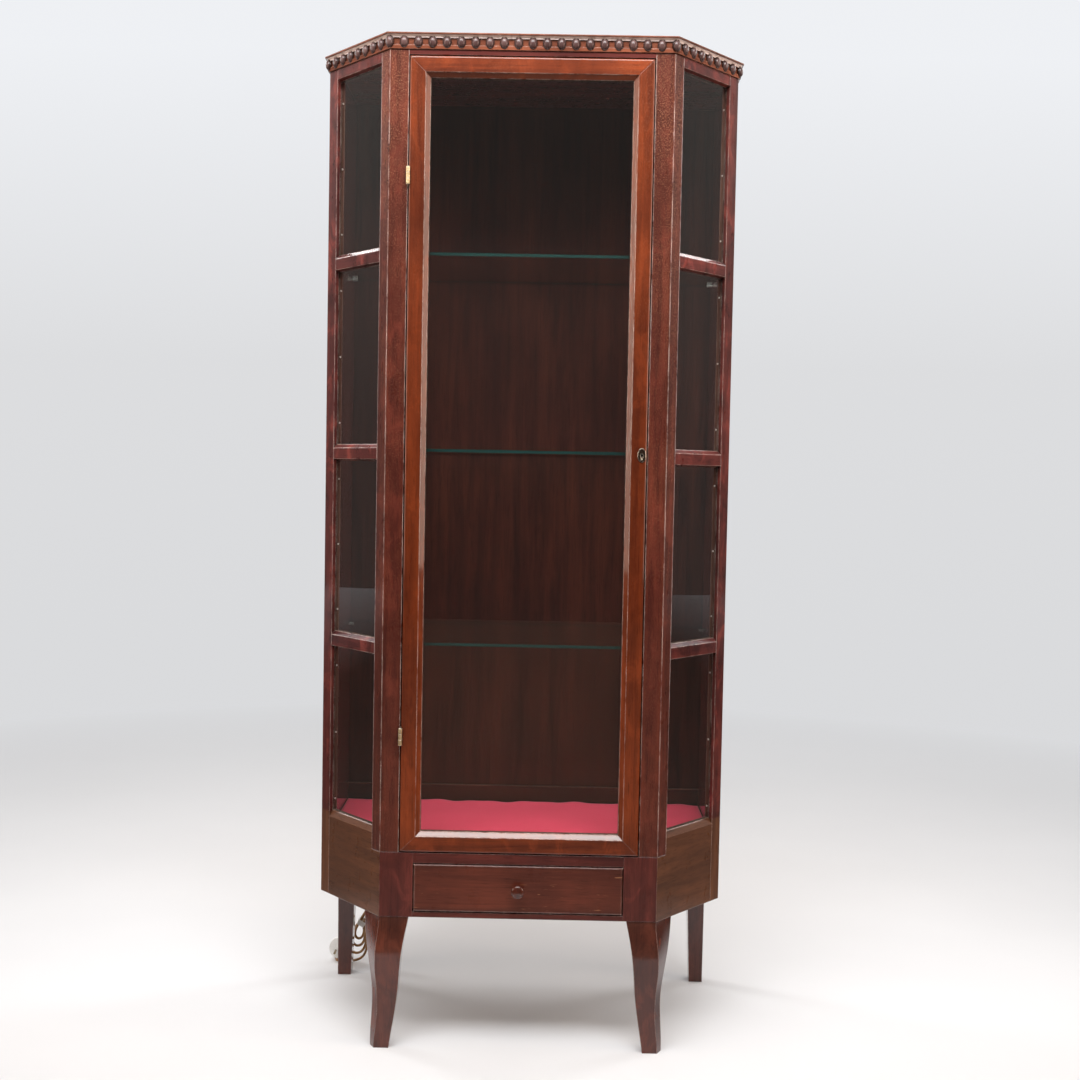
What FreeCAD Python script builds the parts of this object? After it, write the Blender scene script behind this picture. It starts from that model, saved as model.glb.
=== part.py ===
import FreeCAD, Part
import math
import os

# Overall body, in millimetres
TOTAL_HEIGHT = 1680.0
LEG_HEIGHT = 225.0
CORNICE_HEIGHT = 25.0
FRONT_HALF_WIDTH = 232.0
CANT_WIDTH = 120.0
CANT_DEPTH = 141.0
BODY_DEPTH = 368.0
WALL = 18.0
SLIP = 0.3
TINY = 0.03

# Cornice: fascia, sunk field for the carving, cove and top fillet
CORNICE_FASCIA = 6.5
CORNICE_FASCIA_REACH = 2.5
CORNICE_FIELD_REACH = 1.0
CORNICE_COVE_HEIGHT = 5.0
CORNICE_COVE_REACH = 3.0
CORNICE_COVE_SAG = 1.2
CORNICE_TOP_FILLET = 2.5
CORNICE_TOP_REACH = 8.5

# Base with its drawer
BASE_HEIGHT = 109.0
BASE_LOW_RAIL = 9.0
BASE_TOP_RAIL = 17.5
BASE_BOTTOM_THICK = 6.0
FLOOR_THICK = 20.0
FLOOR_RISE = 6.0
BASE_STILE_WIDTH = 56.0
DRAWER_GAP = 1.5
DRAWER_PROUD = 2.0
DRAWER_FRONT_THICK = 18.0
DRAWER_EDGE_ROUND = 2.5
DRAWER_BACK_GAP = 48.0
DRAWER_SIDE_THICK = 10.0
DRAWER_SIDE_INSET = 4.5
DRAWER_SIDE_DROP = 14.0
DRAWER_BOTTOM_THICK = 5.0
DRAWER_BOTTOM_RISE = 4.0
RUNNER_WIDTH = 36.0
RUNNER_GUIDE_WIDTH = 14.0
RUNNER_GUIDE_RISE = 16.0
RUNNER_GAP = 0.4

# Drawer knob, turned
KNOB_RADIUS = 11.0
KNOB_STEM_RADIUS = 5.0
KNOB_STEM_LENGTH = 9.0
KNOB_HEAD_LENGTH = 11.0
KNOB_DOME = 3.0

# Canted sides
FRONT_STILE = 24.0
REAR_STILE = 25.0
SIDE_RETURN = 20.0
PANE_INSET = 7.0
PANE_THICK = 3.0
PANE_LAP = 7.0
PANE_PLAY = 0.5
CANT_TOP_RAIL = 17.0
CANT_TOP_BEVEL = 3.0
MUNTIN_FACE = 19.0
MUNTIN_TOP_BEVEL = 6.5
MUNTIN_LOW_BEVEL = 3.0
SILL_RISE = 28.5
SILL_BEVEL = 10.5
BEAD_DEPTH = 7.0

# Glass shelves and their pins
SHELF_COUNT = 3
LOW_BAY_EXTRA = 16.0
SHELF_THICK = 5.0
SHELF_PLAY = 1.2
SHELF_SETBACK = 30.0
SHELF_BACK_PLAY = 3.0
MUNTIN_DROP = 9.0
PIN_RADIUS = 2.5
PIN_HOLE_PLAY = 0.1
PIN_SINK = 8.0
PIN_REACH = 9.0
PIN_FRONT_REACH = 20.0
PIN_BACK_INSET = 26.0
PIN_SIDE_INSET = 46.0
PIN_FRONT_INSET = 16.0

# Door between the faces of the front posts
POST_FACE = 31.4
DOOR_GAP = 1.6
DOOR_PROUD = 2.0
DOOR_THICK = 19.4
DOOR_FLAT = 26.0
DOOR_FRAME = 34.0
DOOR_EDGE_ROUND = 3.0
DOOR_QUIRK = 1.2
DOOR_PANE_INSET = 8.0
DOOR_REBATE = 7.0
HEADER_HEIGHT = 8.4
STOP_WIDTH = 18.0
STOP_LAP = 9.0
STOP_DEPTH = 8.0

# Hinges
HINGE_HEIGHT = 28.5
HINGE_END_DISTANCE = 193.7
KNUCKLE_RADIUS = 3.2
KNUCKLE_GAP = 0.3
HINGE_PIN_RADIUS = 1.3
HINGE_LEAF_THICK = 0.7
HINGE_LEAF_DEPTH = 15.0

# Lock
LOCK_RISE = 12.7
LOCK_CASE_WIDTH = 24.0
LOCK_CASE_HEIGHT = 36.0
LOCK_CASE_DEPTH = 8.0
BOLT_LENGTH = 14.0
BOLT_HEIGHT = 10.0
BOLT_THICK = 3.4
BOLT_THROW = 6.5
BOLT_PLAY = 0.4
STRIKE_HEIGHT = 30.0
STRIKE_DEPTH = 8.0
STRIKE_THICK = 0.8
KEY_INSET = 8.0
KEY_HOLE_RADIUS = 2.3
KEY_SLOT_WIDTH = 2.2
KEY_SLOT_DROP = 7.0
PLATE_HALF_WIDTH = 7.0
PLATE_HALF_HEIGHT = 11.7
PLATE_THICK = 1.0

# Back, floor covering and strip behind it
BACK_INSET = 14.0
BACK_THICK = 5.0
BACK_REBATE = 8.0
BACK_STRIP_HEIGHT = 32.0
BACK_STRIP_THICK = 8.0
FELT_THICK = 2.0
FELT_PLAY = 1.5
FELT_FRONT = 28.0

# Shaped front legs: sizes at the knee or foot, and shares of them from the top station down to the foot
LEG_FLARE = 6.5
LEG_SETBACK = 4.5
LEG_FRONT_WIDTH = 50.0
LEG_CANT_OUT = 28.0
LEG_CANT_BACK = 33.2
LEG_THICK = 40.0
LEG_LEVEL_SHARES = (1.0, 0.83, 0.66, 0.475, 0.35, 0.15, 0.0)
LEG_FLARE_SHARES = (0.0, 0.51, 0.92, 0.49, 0.26, 0.62, 1.0)
LEG_SETBACK_SHARES = (0.3, -0.22, -0.44, 0.44, 1.0, 0.89, 0.44)
LEG_FRONT_SHARES = (1.0, 0.91, 0.854, 0.732, 0.642, 0.554, 0.502)
LEG_CANT_OUT_SHARES = (1.0, 0.779, 0.486, 0.321, 0.332, 0.332, 0.268)
LEG_CANT_BACK_SHARES = (1.0, 0.934, 0.783, 0.361, 0.271, 0.37, 0.416)
LEG_THICK_SHARES = (1.0, 0.95, 0.85, 0.7, 0.625, 0.55, 0.5)

# Square rear legs
REAR_LEG_TOP = 34.0
REAR_LEG_FOOT = 25.0
REAR_LEG_SIDE_INSET = 2.0
REAR_LEG_BACK_INSET = 2.0

# Tube lamp under the ceiling, behind the header
LAMP_Y = 52.0
LAMP_HALF_LENGTH = 120.0
LAMP_BASE_WIDTH = 22.0
LAMP_BASE_THICK = 4.0
LAMP_END_LENGTH = 14.0
LAMP_END_DROP = 19.0
LAMP_TUBE_RADIUS = 8.5
LAMP_CAP_RADIUS = 7.5
LAMP_CAP_LENGTH = 12.0

# Flex
FLEX_RADIUS = 2.5
LEAD_CEILING_DROP = 7.0
LEAD_TURN = 25.0
LEAD_BACK_TURN = 15.0
LEAD_X = -215.0
LEAD_BACK_LIFT = 4.5
LEAD_HOLE_PLAY = 1.0
LEAD_END_LEVEL = 262.0
CLIP_LENGTH = 6.0
CLIP_WALL = 1.6
CLIP_PLAY = 0.1
CLIP_BACK_COUNT = 5
CLIP_BACK_TOP_DROP = 60.0
CLIP_CEILING_SHARES = (0.35, 0.8)

# Hank: loops hanging from a tied waist down to the floor, with smaller eyes above the tie
HANK_TURNS = 4
HANK_X = -312.0
HANK_FIRST_Y = 386.0
HANK_WAIST_LEVEL = 86.0
HANK_STEP = 6.0
HANK_SHORT_LOOP = 32.0
HANK_LONG_LOOP = 84.5
HANK_HANG_TILT = 11.0
HANK_WAIST_TILT = 30.0
HANK_WAIST_HALF = 3.3
HANK_EYE = 40.0
HANK_EYE_TILT = 50.0
HANK_LEAD = 16.0
TIE_HEIGHT = 10.0
TIE_THICK = 1.2
TIE_PLAY = 0.6

# Free stretches of the flex, as route points between their ends
FREE_ARC_SHARE = 0.45
FREE_LEAD = 20.0
DROP_ROUTE = ((-224.0, 366.0, 215.0), (-244.0, 374.0, 184.0), (-268.0, 382.0, 151.0))
TAIL_ROUTE = ((-364.0, 413.0, 2.8), (-368.0, 432.0, 2.8), (-364.0, 452.0, 2.8), (-361.0, 471.0, 2.8),
              (-359.0, 478.0, 9.9), (-358.0, 478.0, 19.9), (-357.0, 471.0, 27.0))

# Plug with two round pins, its face towards the front
PLUG_X = -357.0
PLUG_LEVEL = 27.0
PLUG_FACE_Y = 410.0
PLUG_RADIUS = 21.0
PLUG_RIM_LENGTH = 10.0
PLUG_CONE_LENGTH = 16.0
PLUG_NECK_RADIUS = 6.0
PLUG_NECK_LENGTH = 8.0
PLUG_PIN_RADIUS = 2.2
PLUG_PIN_LENGTH = 16.0
PLUG_PIN_OFFSET = 9.5
PLUG_PIN_TURN = 32.0

# Levels and directions that follow from the sizes
BODY_TOP = TOTAL_HEIGHT - CORNICE_HEIGHT
BASE_TOP = LEG_HEIGHT + BASE_HEIGHT
FLOOR_TOP = BASE_TOP + FLOOR_RISE
BODY_HALF_WIDTH = FRONT_HALF_WIDTH + CANT_WIDTH
CANT_LENGTH = math.hypot(CANT_WIDTH, CANT_DEPTH)
CANT_X = CANT_WIDTH / CANT_LENGTH
CANT_Y = CANT_DEPTH / CANT_LENGTH
OPENING_HALF_WIDTH = FRONT_HALF_WIDTH - POST_FACE
DOOR_HALF_WIDTH = OPENING_HALF_WIDTH - DOOR_GAP
DOOR_BOTTOM = BASE_TOP + DOOR_GAP
DOOR_TOP = BODY_TOP - HEADER_HEIGHT - DOOR_GAP
DOOR_BACK = DOOR_THICK - DOOR_PROUD
HINGE_LEVELS = (DOOR_BOTTOM + HINGE_END_DISTANCE, DOOR_TOP - HINGE_END_DISTANCE)
LOCK_LEVEL = (DOOR_BOTTOM + DOOR_TOP) / 2 + LOCK_RISE
DRAWER_HALF_WIDTH = FRONT_HALF_WIDTH - BASE_STILE_WIDTH - DRAWER_GAP
DRAWER_BOTTOM = LEG_HEIGHT + BASE_LOW_RAIL + DRAWER_GAP
DRAWER_TOP = BASE_TOP - BASE_TOP_RAIL - DRAWER_GAP
BACK_FACE = BODY_DEPTH - BACK_INSET
INNER_HALF_WIDTH = BODY_HALF_WIDTH - WALL
KNOB_REACH = DRAWER_PROUD + KNOB_STEM_LENGTH + KNOB_HEAD_LENGTH
CENTRE_Y = (BODY_DEPTH - KNOB_REACH) / 2
HINGE_AXIS_X = -(OPENING_HALF_WIDTH - DOOR_GAP / 2)
HINGE_AXIS_Y = -(DOOR_PROUD + KNUCKLE_RADIUS + SLIP)
SHELF_STEP = (BODY_TOP - FLOOR_TOP - LOW_BAY_EXTRA) / (SHELF_COUNT + 1)
SHELF_LEVELS = [BODY_TOP - SHELF_STEP * number for number in range(SHELF_COUNT, 0, -1)]
PANE_START = FRONT_STILE - PANE_LAP
PANE_END = CANT_LENGTH - REAR_STILE + PANE_LAP
LEAD_LEVEL = BODY_TOP - LEAD_CEILING_DROP
LEAD_BACK_Y = BACK_FACE + BACK_THICK + LEAD_BACK_LIFT


def at(x, y, z):
    return FreeCAD.Vector(x, y, z)


def save(name, shape):
    moved = shape.copy()
    moved.translate(at(0, -CENTRE_Y, 0))
    moved.exportStep("parts/" + name + ".step")


def group(solids):
    return Part.makeCompound(solids)


def fused(solids):
    return solids[0].multiFuse(solids[1:]).removeSplitter()


def mirrored(shape):
    return shape.mirror(at(0, 0, 0), at(1, 0, 0))


# Right-hand solids with their mirror images
def both_sides(solids):
    return group(solids + [mirrored(solid) for solid in solids])


def block(x_low, x_high, y_low, y_high, z_low, z_high):
    return Part.makeBox(x_high - x_low, y_high - y_low, z_high - z_low, at(x_low, y_low, z_low))


def polygon(points):
    return Part.Face(Part.makePolygon(points + points[:1]))


# Upright prism over a plan
def prism(plan, z_low, z_high):
    face = polygon([at(x, y, z_low) for x, y in plan])
    return face.extrude(at(0, 0, z_high - z_low))


# Plan point on the right cant, measured along it and inwards from its face
def cant_point(along, inset):
    x = FRONT_HALF_WIDTH + along * CANT_X - inset * CANT_Y
    y = along * CANT_Y + inset * CANT_X
    return x, y


# Length of moulding along the right cant, from a section of insets and levels
def cant_bar(section, start, end):
    corners = []
    for inset, level in section:
        x, y = cant_point(start, inset)
        corners.append(at(x, y, level))
    run = end - start
    return polygon(corners).extrude(at(run * CANT_X, run * CANT_Y, 0))


# Corners of the plan, from the back left round the front to the back right
def outline(reach, front=None, back=BODY_DEPTH):
    front_y = -reach if front is None else front
    side_x = BODY_HALF_WIDTH + reach
    corner_x = FRONT_HALF_WIDTH + (reach + CANT_X * front_y) / CANT_Y
    corner_y = (CANT_Y * (side_x - FRONT_HALF_WIDTH) - reach) / CANT_X
    right = [(corner_x, front_y), (side_x, corner_y), (side_x, back)]
    left = [(-x, y) for x, y in reversed(right)]
    return left + right


# Round bar between two points
def rod(start, end, radius):
    way = end.sub(start)
    return Part.makeCylinder(radius, way.Length, start, way)


# Cornice section at one corner of the plan, standing on the mitre
def cornice_section(corner):
    def on_mitre(reach, level):
        x, y = outline(reach)[corner]
        return at(x, y, level)

    field_low = BODY_TOP + CORNICE_FASCIA
    cove_high = TOTAL_HEIGHT - CORNICE_TOP_FILLET
    cove_low = cove_high - CORNICE_COVE_HEIGHT
    cove_start = on_mitre(CORNICE_COVE_REACH, cove_low)
    cove_middle = on_mitre((CORNICE_COVE_REACH + CORNICE_TOP_REACH) / 2 - CORNICE_COVE_SAG,
                           (cove_low + cove_high) / 2 + CORNICE_COVE_SAG)
    cove_end = on_mitre(CORNICE_TOP_REACH, cove_high)
    below = Part.makePolygon([on_mitre(-WALL, BODY_TOP), on_mitre(CORNICE_FASCIA_REACH, BODY_TOP),
                              on_mitre(CORNICE_FASCIA_REACH, field_low),
                              on_mitre(CORNICE_FIELD_REACH, field_low),
                              on_mitre(CORNICE_FIELD_REACH, cove_low), cove_start])
    cove = Part.Arc(cove_start, cove_middle, cove_end).toShape()
    above = Part.makePolygon([cove_end, on_mitre(CORNICE_TOP_REACH, TOTAL_HEIGHT),
                              on_mitre(-WALL, TOTAL_HEIGHT), on_mitre(-WALL, BODY_TOP)])
    return Part.Wire(below.Edges + [cove] + above.Edges)


# One mitred length of cornice between two neighbouring corners of the plan
def cornice_length(corner):
    return Part.makeLoft([cornice_section(corner), cornice_section(corner + 1)], True, True)


def build_top():
    save("top_board", prism(outline(-WALL), BODY_TOP, TOTAL_HEIGHT))
    save("cornice_front", cornice_length(2))
    save("cornice_cants", group([cornice_length(1), cornice_length(3)]))
    save("cornice_sides", group([cornice_length(0), cornice_length(4)]))


# Rebate behind the lip of a stile, as tall as the glazing
def pane_rebate(start, end):
    low = pane_spans()[0][0]
    high = pane_spans()[-1][1]
    return cant_bar([(PANE_INSET, low), (PANE_INSET, high), (WALL, high), (WALL, low)], start, end)


# Front corner post: front face beside the door, arris, and stile of the canted side
def front_post():
    plan = [(OPENING_HALF_WIDTH, 0), (FRONT_HALF_WIDTH, 0), cant_point(FRONT_STILE, 0),
            cant_point(FRONT_STILE, WALL), outline(-WALL)[3], (OPENING_HALF_WIDTH, WALL)]
    post = prism(plan, BASE_TOP, BODY_TOP).cut(pane_rebate(PANE_START, FRONT_STILE))
    for level in SHELF_LEVELS:
        post = post.cut(front_pin(level, PIN_RADIUS + PIN_HOLE_PLAY))
    return post


# Corner post between the canted side and the straight side
def side_post():
    start = CANT_LENGTH - REAR_STILE
    end_y = CANT_DEPTH + SIDE_RETURN
    plan = [cant_point(start, 0), (BODY_HALF_WIDTH, CANT_DEPTH), (BODY_HALF_WIDTH, end_y),
            (INNER_HALF_WIDTH, end_y), outline(-WALL)[4], cant_point(start, WALL)]
    return prism(plan, LEG_HEIGHT, BODY_TOP).cut(pane_rebate(start, PANE_END))


# Straight side with a rebate for the back
def side_panel():
    start = CANT_DEPTH + SIDE_RETURN
    lip = INNER_HALF_WIDTH + BACK_REBATE
    plan = [(BODY_HALF_WIDTH, start), (BODY_HALF_WIDTH, BODY_DEPTH), (lip, BODY_DEPTH),
            (lip, BACK_FACE), (INNER_HALF_WIDTH, BACK_FACE), (INNER_HALF_WIDTH, start)]
    panel = prism(plan, LEG_HEIGHT, BODY_TOP)
    for level in SHELF_LEVELS:
        for pin in side_pins(level, PIN_RADIUS + PIN_HOLE_PLAY):
            panel = panel.cut(pin)
    return panel


def save_pair(name, right):
    save(name + "_right", right)
    save(name + "_left", mirrored(right))


def build_carcass():
    left_post = mirrored(front_post())
    save("front_post_left", left_post)
    save("front_post_right", front_post().cut(bolt_mortise()))
    save_pair("side_post", side_post())
    save_pair("side_panel", side_panel())
    save("header_rail", block(-OPENING_HALF_WIDTH, OPENING_HALF_WIDTH, 0, WALL,
                              BODY_TOP - HEADER_HEIGHT, BODY_TOP))
    save("door_stops", door_stops())
    back_half = INNER_HALF_WIDTH + BACK_REBATE - SLIP
    back = block(-back_half, back_half, BACK_FACE, BACK_FACE + BACK_THICK, LEG_HEIGHT, BODY_TOP)
    save("back_panel", back.cut(lead_hole()))


# Strips behind the door that it closes against
def door_stops():
    inner = OPENING_HALF_WIDTH - STOP_LAP
    outer = inner + STOP_WIDTH
    upright = block(inner, outer, WALL, WALL + STOP_DEPTH, FLOOR_TOP, BODY_TOP)
    top_low = BODY_TOP - HEADER_HEIGHT - STOP_LAP
    top = block(-inner, inner, WALL, WALL + STOP_DEPTH, top_low, BODY_TOP)
    return group([upright, mirrored(upright), top])


# Base board of a canted side, with the sill between the posts above it
def base_cant():
    corner_outer = outline(0)[3]
    corner_inner = outline(-WALL)[3]
    end = CANT_LENGTH - REAR_STILE
    low = prism([corner_outer, cant_point(end, 0), cant_point(end, WALL), corner_inner], LEG_HEIGHT, BASE_TOP)
    face_top = BASE_TOP + SILL_RISE
    seat = face_top + SILL_BEVEL - PANE_LAP
    section = [(0, BASE_TOP), (0, face_top), (PANE_INSET, face_top + SILL_BEVEL), (PANE_INSET, seat),
               (WALL, seat), (WALL, BASE_TOP)]
    return fused([low, cant_bar(section, FRONT_STILE, end)])


def build_base():
    opening = DRAWER_HALF_WIDTH + DRAWER_GAP
    inner_corner = outline(-WALL)[3]
    stile = prism([(opening, 0), (FRONT_HALF_WIDTH, 0), inner_corner, (opening, WALL)], LEG_HEIGHT, BASE_TOP)
    save("base_stiles", both_sides([stile]))
    save("base_cants", both_sides([base_cant()]))
    save("base_rail_lower", block(-opening, opening, 0, WALL, LEG_HEIGHT, LEG_HEIGHT + BASE_LOW_RAIL))
    save("base_rail_upper", block(-opening, opening, 0, WALL, BASE_TOP - BASE_TOP_RAIL, BASE_TOP))
    inner_plan = outline(-WALL, back=BACK_FACE)
    save("base_bottom", prism(inner_plan, LEG_HEIGHT, LEG_HEIGHT + BASE_BOTTOM_THICK))
    save("floor_board", prism(inner_plan, FLOOR_TOP - FLOOR_THICK, FLOOR_TOP))
    save("back_strip", block(-INNER_HALF_WIDTH, INNER_HALF_WIDTH, BACK_FACE - BACK_STRIP_THICK, BACK_FACE,
                             FLOOR_TOP, FLOOR_TOP + BACK_STRIP_HEIGHT))
    felt_back = BACK_FACE - BACK_STRIP_THICK - FELT_PLAY
    felt_plan = outline(-WALL - FELT_PLAY, front=FELT_FRONT, back=felt_back)
    save("felt_mat", prism(felt_plan, FLOOR_TOP, FLOOR_TOP + FELT_THICK))
    save("drawer_runners", both_sides([drawer_runner()]))


# Runner under a drawer side, with the guide that keeps the drawer straight
def drawer_runner():
    side_outer = DRAWER_HALF_WIDTH - DRAWER_SIDE_INSET
    low = LEG_HEIGHT + BASE_BOTTOM_THICK
    seat = DRAWER_BOTTOM + RUNNER_GAP
    guide = side_outer + RUNNER_GAP
    outer = guide + RUNNER_GUIDE_WIDTH
    section = [(outer - RUNNER_WIDTH, low), (outer, low), (outer, seat + RUNNER_GUIDE_RISE),
               (guide, seat + RUNNER_GUIDE_RISE), (guide, seat), (outer - RUNNER_WIDTH, seat)]
    face = polygon([at(x, WALL, z) for x, z in section])
    return face.extrude(at(0, BACK_FACE - WALL, 0))


# Level of the face bottom of each muntin, just under its shelf
def muntin_levels():
    return [level + MUNTIN_DROP - MUNTIN_TOP_BEVEL - MUNTIN_FACE for level in SHELF_LEVELS]


# Muntin with bevelled edges and a narrower tongue behind the panes
def muntin(level):
    top = level + MUNTIN_FACE
    seat_high = top + MUNTIN_TOP_BEVEL - PANE_LAP
    seat_low = level - MUNTIN_LOW_BEVEL + PANE_LAP
    section = [(0, level), (0, top), (PANE_INSET, top + MUNTIN_TOP_BEVEL), (PANE_INSET, seat_high),
               (WALL, seat_high), (WALL, seat_low), (PANE_INSET, seat_low),
               (PANE_INSET, level - MUNTIN_LOW_BEVEL)]
    return cant_bar(section, FRONT_STILE, CANT_LENGTH - REAR_STILE)


# Rebate of each pane of a canted side, from its low seat to its high seat
def pane_spans():
    spans = []
    low = BASE_TOP + SILL_RISE + SILL_BEVEL - PANE_LAP
    for level in muntin_levels():
        spans.append((low, level - MUNTIN_LOW_BEVEL + PANE_LAP))
        low = level + MUNTIN_FACE + MUNTIN_TOP_BEVEL - PANE_LAP
    spans.append((low, BODY_TOP - CANT_TOP_RAIL - CANT_TOP_BEVEL + PANE_LAP))
    return spans


# Four strips that hold a pane in its rebate
def pane_beads(low, high):
    near = PANE_INSET + PANE_THICK
    far = near + BEAD_DEPTH
    start = FRONT_STILE
    end = CANT_LENGTH - REAR_STILE
    upright = [(near, low), (near, high), (far, high), (far, low)]
    foot = [(near, low), (near, low + PANE_LAP), (far, low + PANE_LAP), (far, low)]
    head = [(near, high - PANE_LAP), (near, high), (far, high), (far, high - PANE_LAP)]
    return [cant_bar(upright, PANE_START, start), cant_bar(upright, end, PANE_END),
            cant_bar(foot, start, end), cant_bar(head, start, end)]


def build_cants():
    end = CANT_LENGTH - REAR_STILE
    rail_low = BODY_TOP - CANT_TOP_RAIL
    seat = rail_low - CANT_TOP_BEVEL + PANE_LAP
    rail = cant_bar([(0, BODY_TOP), (0, rail_low), (PANE_INSET, rail_low - CANT_TOP_BEVEL),
                     (PANE_INSET, seat), (WALL, seat), (WALL, BODY_TOP)], FRONT_STILE, end)
    save("cant_top_rails", both_sides([rail]))
    save("cant_muntins", both_sides([muntin(level) for level in muntin_levels()]))
    panes = []
    beads = []
    for low, high in pane_spans():
        section = [(PANE_INSET, low), (PANE_INSET, high - PANE_PLAY),
                   (PANE_INSET + PANE_THICK, high - PANE_PLAY), (PANE_INSET + PANE_THICK, low)]
        panes.append(cant_bar(section, PANE_START + PANE_PLAY, PANE_END - PANE_PLAY))
        beads.extend(pane_beads(low, high))
    save("cant_panes", both_sides(panes))
    save("pane_beads", both_sides(beads))


# Shelf pin in the back of the right front post, under a shelf
def front_pin(level, radius):
    x = FRONT_HALF_WIDTH - PIN_FRONT_INSET
    z = level - SHELF_THICK / 2 - PIN_RADIUS
    return rod(at(x, WALL - PIN_SINK, z), at(x, WALL + PIN_FRONT_REACH, z), radius)


# Two shelf pins in the right side panel, under a shelf
def side_pins(level, radius):
    z = level - SHELF_THICK / 2 - PIN_RADIUS
    pins = []
    for y in (CANT_DEPTH + PIN_SIDE_INSET, BACK_FACE - PIN_BACK_INSET):
        pins.append(rod(at(INNER_HALF_WIDTH + PIN_SINK, y, z), at(INNER_HALF_WIDTH - PIN_REACH, y, z), radius))
    return pins


def build_shelves():
    plan = outline(-WALL - SHELF_PLAY, front=SHELF_SETBACK, back=BACK_FACE - SHELF_BACK_PLAY)
    pins = []
    for name, level in zip(("lower", "middle", "upper"), SHELF_LEVELS):
        save("glass_shelf_" + name, prism(plan, level - SHELF_THICK / 2, level + SHELF_THICK / 2))
        pins.append(front_pin(level, PIN_RADIUS))
        pins.extend(side_pins(level, PIN_RADIUS))
    save("shelf_pins", both_sides(pins))


# Section of the door frame, from its rounded outer edge to the bevel beside the pane
def door_section():
    curve = DOOR_EDGE_ROUND
    ease = curve * (1 - math.sqrt(0.5))
    lap = DOOR_FRAME - DOOR_REBATE
    line = Part.LineSegment
    edges = [line(at(0, DOOR_THICK, 0), at(0, curve, 0)),
             Part.Arc(at(0, curve, 0), at(ease, ease, 0), at(curve, 0, 0)),
             line(at(curve, 0, 0), at(DOOR_FLAT, 0, 0)),
             line(at(DOOR_FLAT, 0, 0), at(DOOR_FLAT, DOOR_QUIRK, 0)),
             line(at(DOOR_FLAT, DOOR_QUIRK, 0), at(DOOR_FRAME, DOOR_PANE_INSET, 0)),
             line(at(DOOR_FRAME, DOOR_PANE_INSET, 0), at(lap, DOOR_PANE_INSET, 0)),
             line(at(lap, DOOR_PANE_INSET, 0), at(lap, DOOR_THICK, 0)),
             line(at(lap, DOOR_THICK, 0), at(0, DOOR_THICK, 0))]
    return Part.Face(Part.Wire([edge.toShape() for edge in edges]))


# Member of the door frame, standing up with both ends mitred
def door_member(length):
    member = door_section().extrude(at(0, 0, length))
    mitre = polygon([at(0, 0, 0), at(DOOR_FRAME, 0, DOOR_FRAME),
                     at(DOOR_FRAME, 0, length - DOOR_FRAME), at(0, 0, length)])
    return member.common(mitre.extrude(at(0, DOOR_THICK, 0)))


# Bar with the section of the bolt, or of the space round it
def bolt_bar(x_low, x_high, play):
    middle_y = DOOR_BACK - LOCK_CASE_DEPTH / 2
    half_thick = BOLT_THICK / 2 + play
    half_height = BOLT_HEIGHT / 2 + play
    return block(x_low, x_high, middle_y - half_thick, middle_y + half_thick,
                 LOCK_LEVEL - half_height, LOCK_LEVEL + half_height)


# Mortise behind the strike plate that takes the thrown bolt
def bolt_mortise():
    return bolt_bar(OPENING_HALF_WIDTH - STRIKE_THICK, DOOR_HALF_WIDTH + BOLT_THROW + BOLT_PLAY, BOLT_PLAY)


# Lock case, let into the back of the right stile at its edge
def lock_box():
    return block(DOOR_HALF_WIDTH - LOCK_CASE_WIDTH, DOOR_HALF_WIDTH, DOOR_BACK - LOCK_CASE_DEPTH, DOOR_BACK,
                 LOCK_LEVEL - LOCK_CASE_HEIGHT / 2, LOCK_LEVEL + LOCK_CASE_HEIGHT / 2)


# Round hole with a slot under it
def key_opening(y_low, y_high):
    x = DOOR_HALF_WIDTH - KEY_INSET
    hole = rod(at(x, y_low, LOCK_LEVEL), at(x, y_high, LOCK_LEVEL), KEY_HOLE_RADIUS)
    slot = block(x - KEY_SLOT_WIDTH / 2, x + KEY_SLOT_WIDTH / 2, y_low, y_high,
                 LOCK_LEVEL - KEY_SLOT_DROP, LOCK_LEVEL)
    return fused([hole, slot])


def keyhole_plate():
    centre = at(DOOR_HALF_WIDTH - KEY_INSET, -DOOR_PROUD - PLATE_THICK, LOCK_LEVEL)
    top = centre.add(at(0, 0, PLATE_HALF_HEIGHT))
    side = centre.add(at(PLATE_HALF_WIDTH, 0, 0))
    oval = Part.Face(Part.Wire(Part.Ellipse(top, side, centre).toShape()))
    plate = oval.extrude(at(0, PLATE_THICK, 0))
    return plate.cut(key_opening(-DOOR_PROUD - PLATE_THICK, -DOOR_PROUD))


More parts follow.
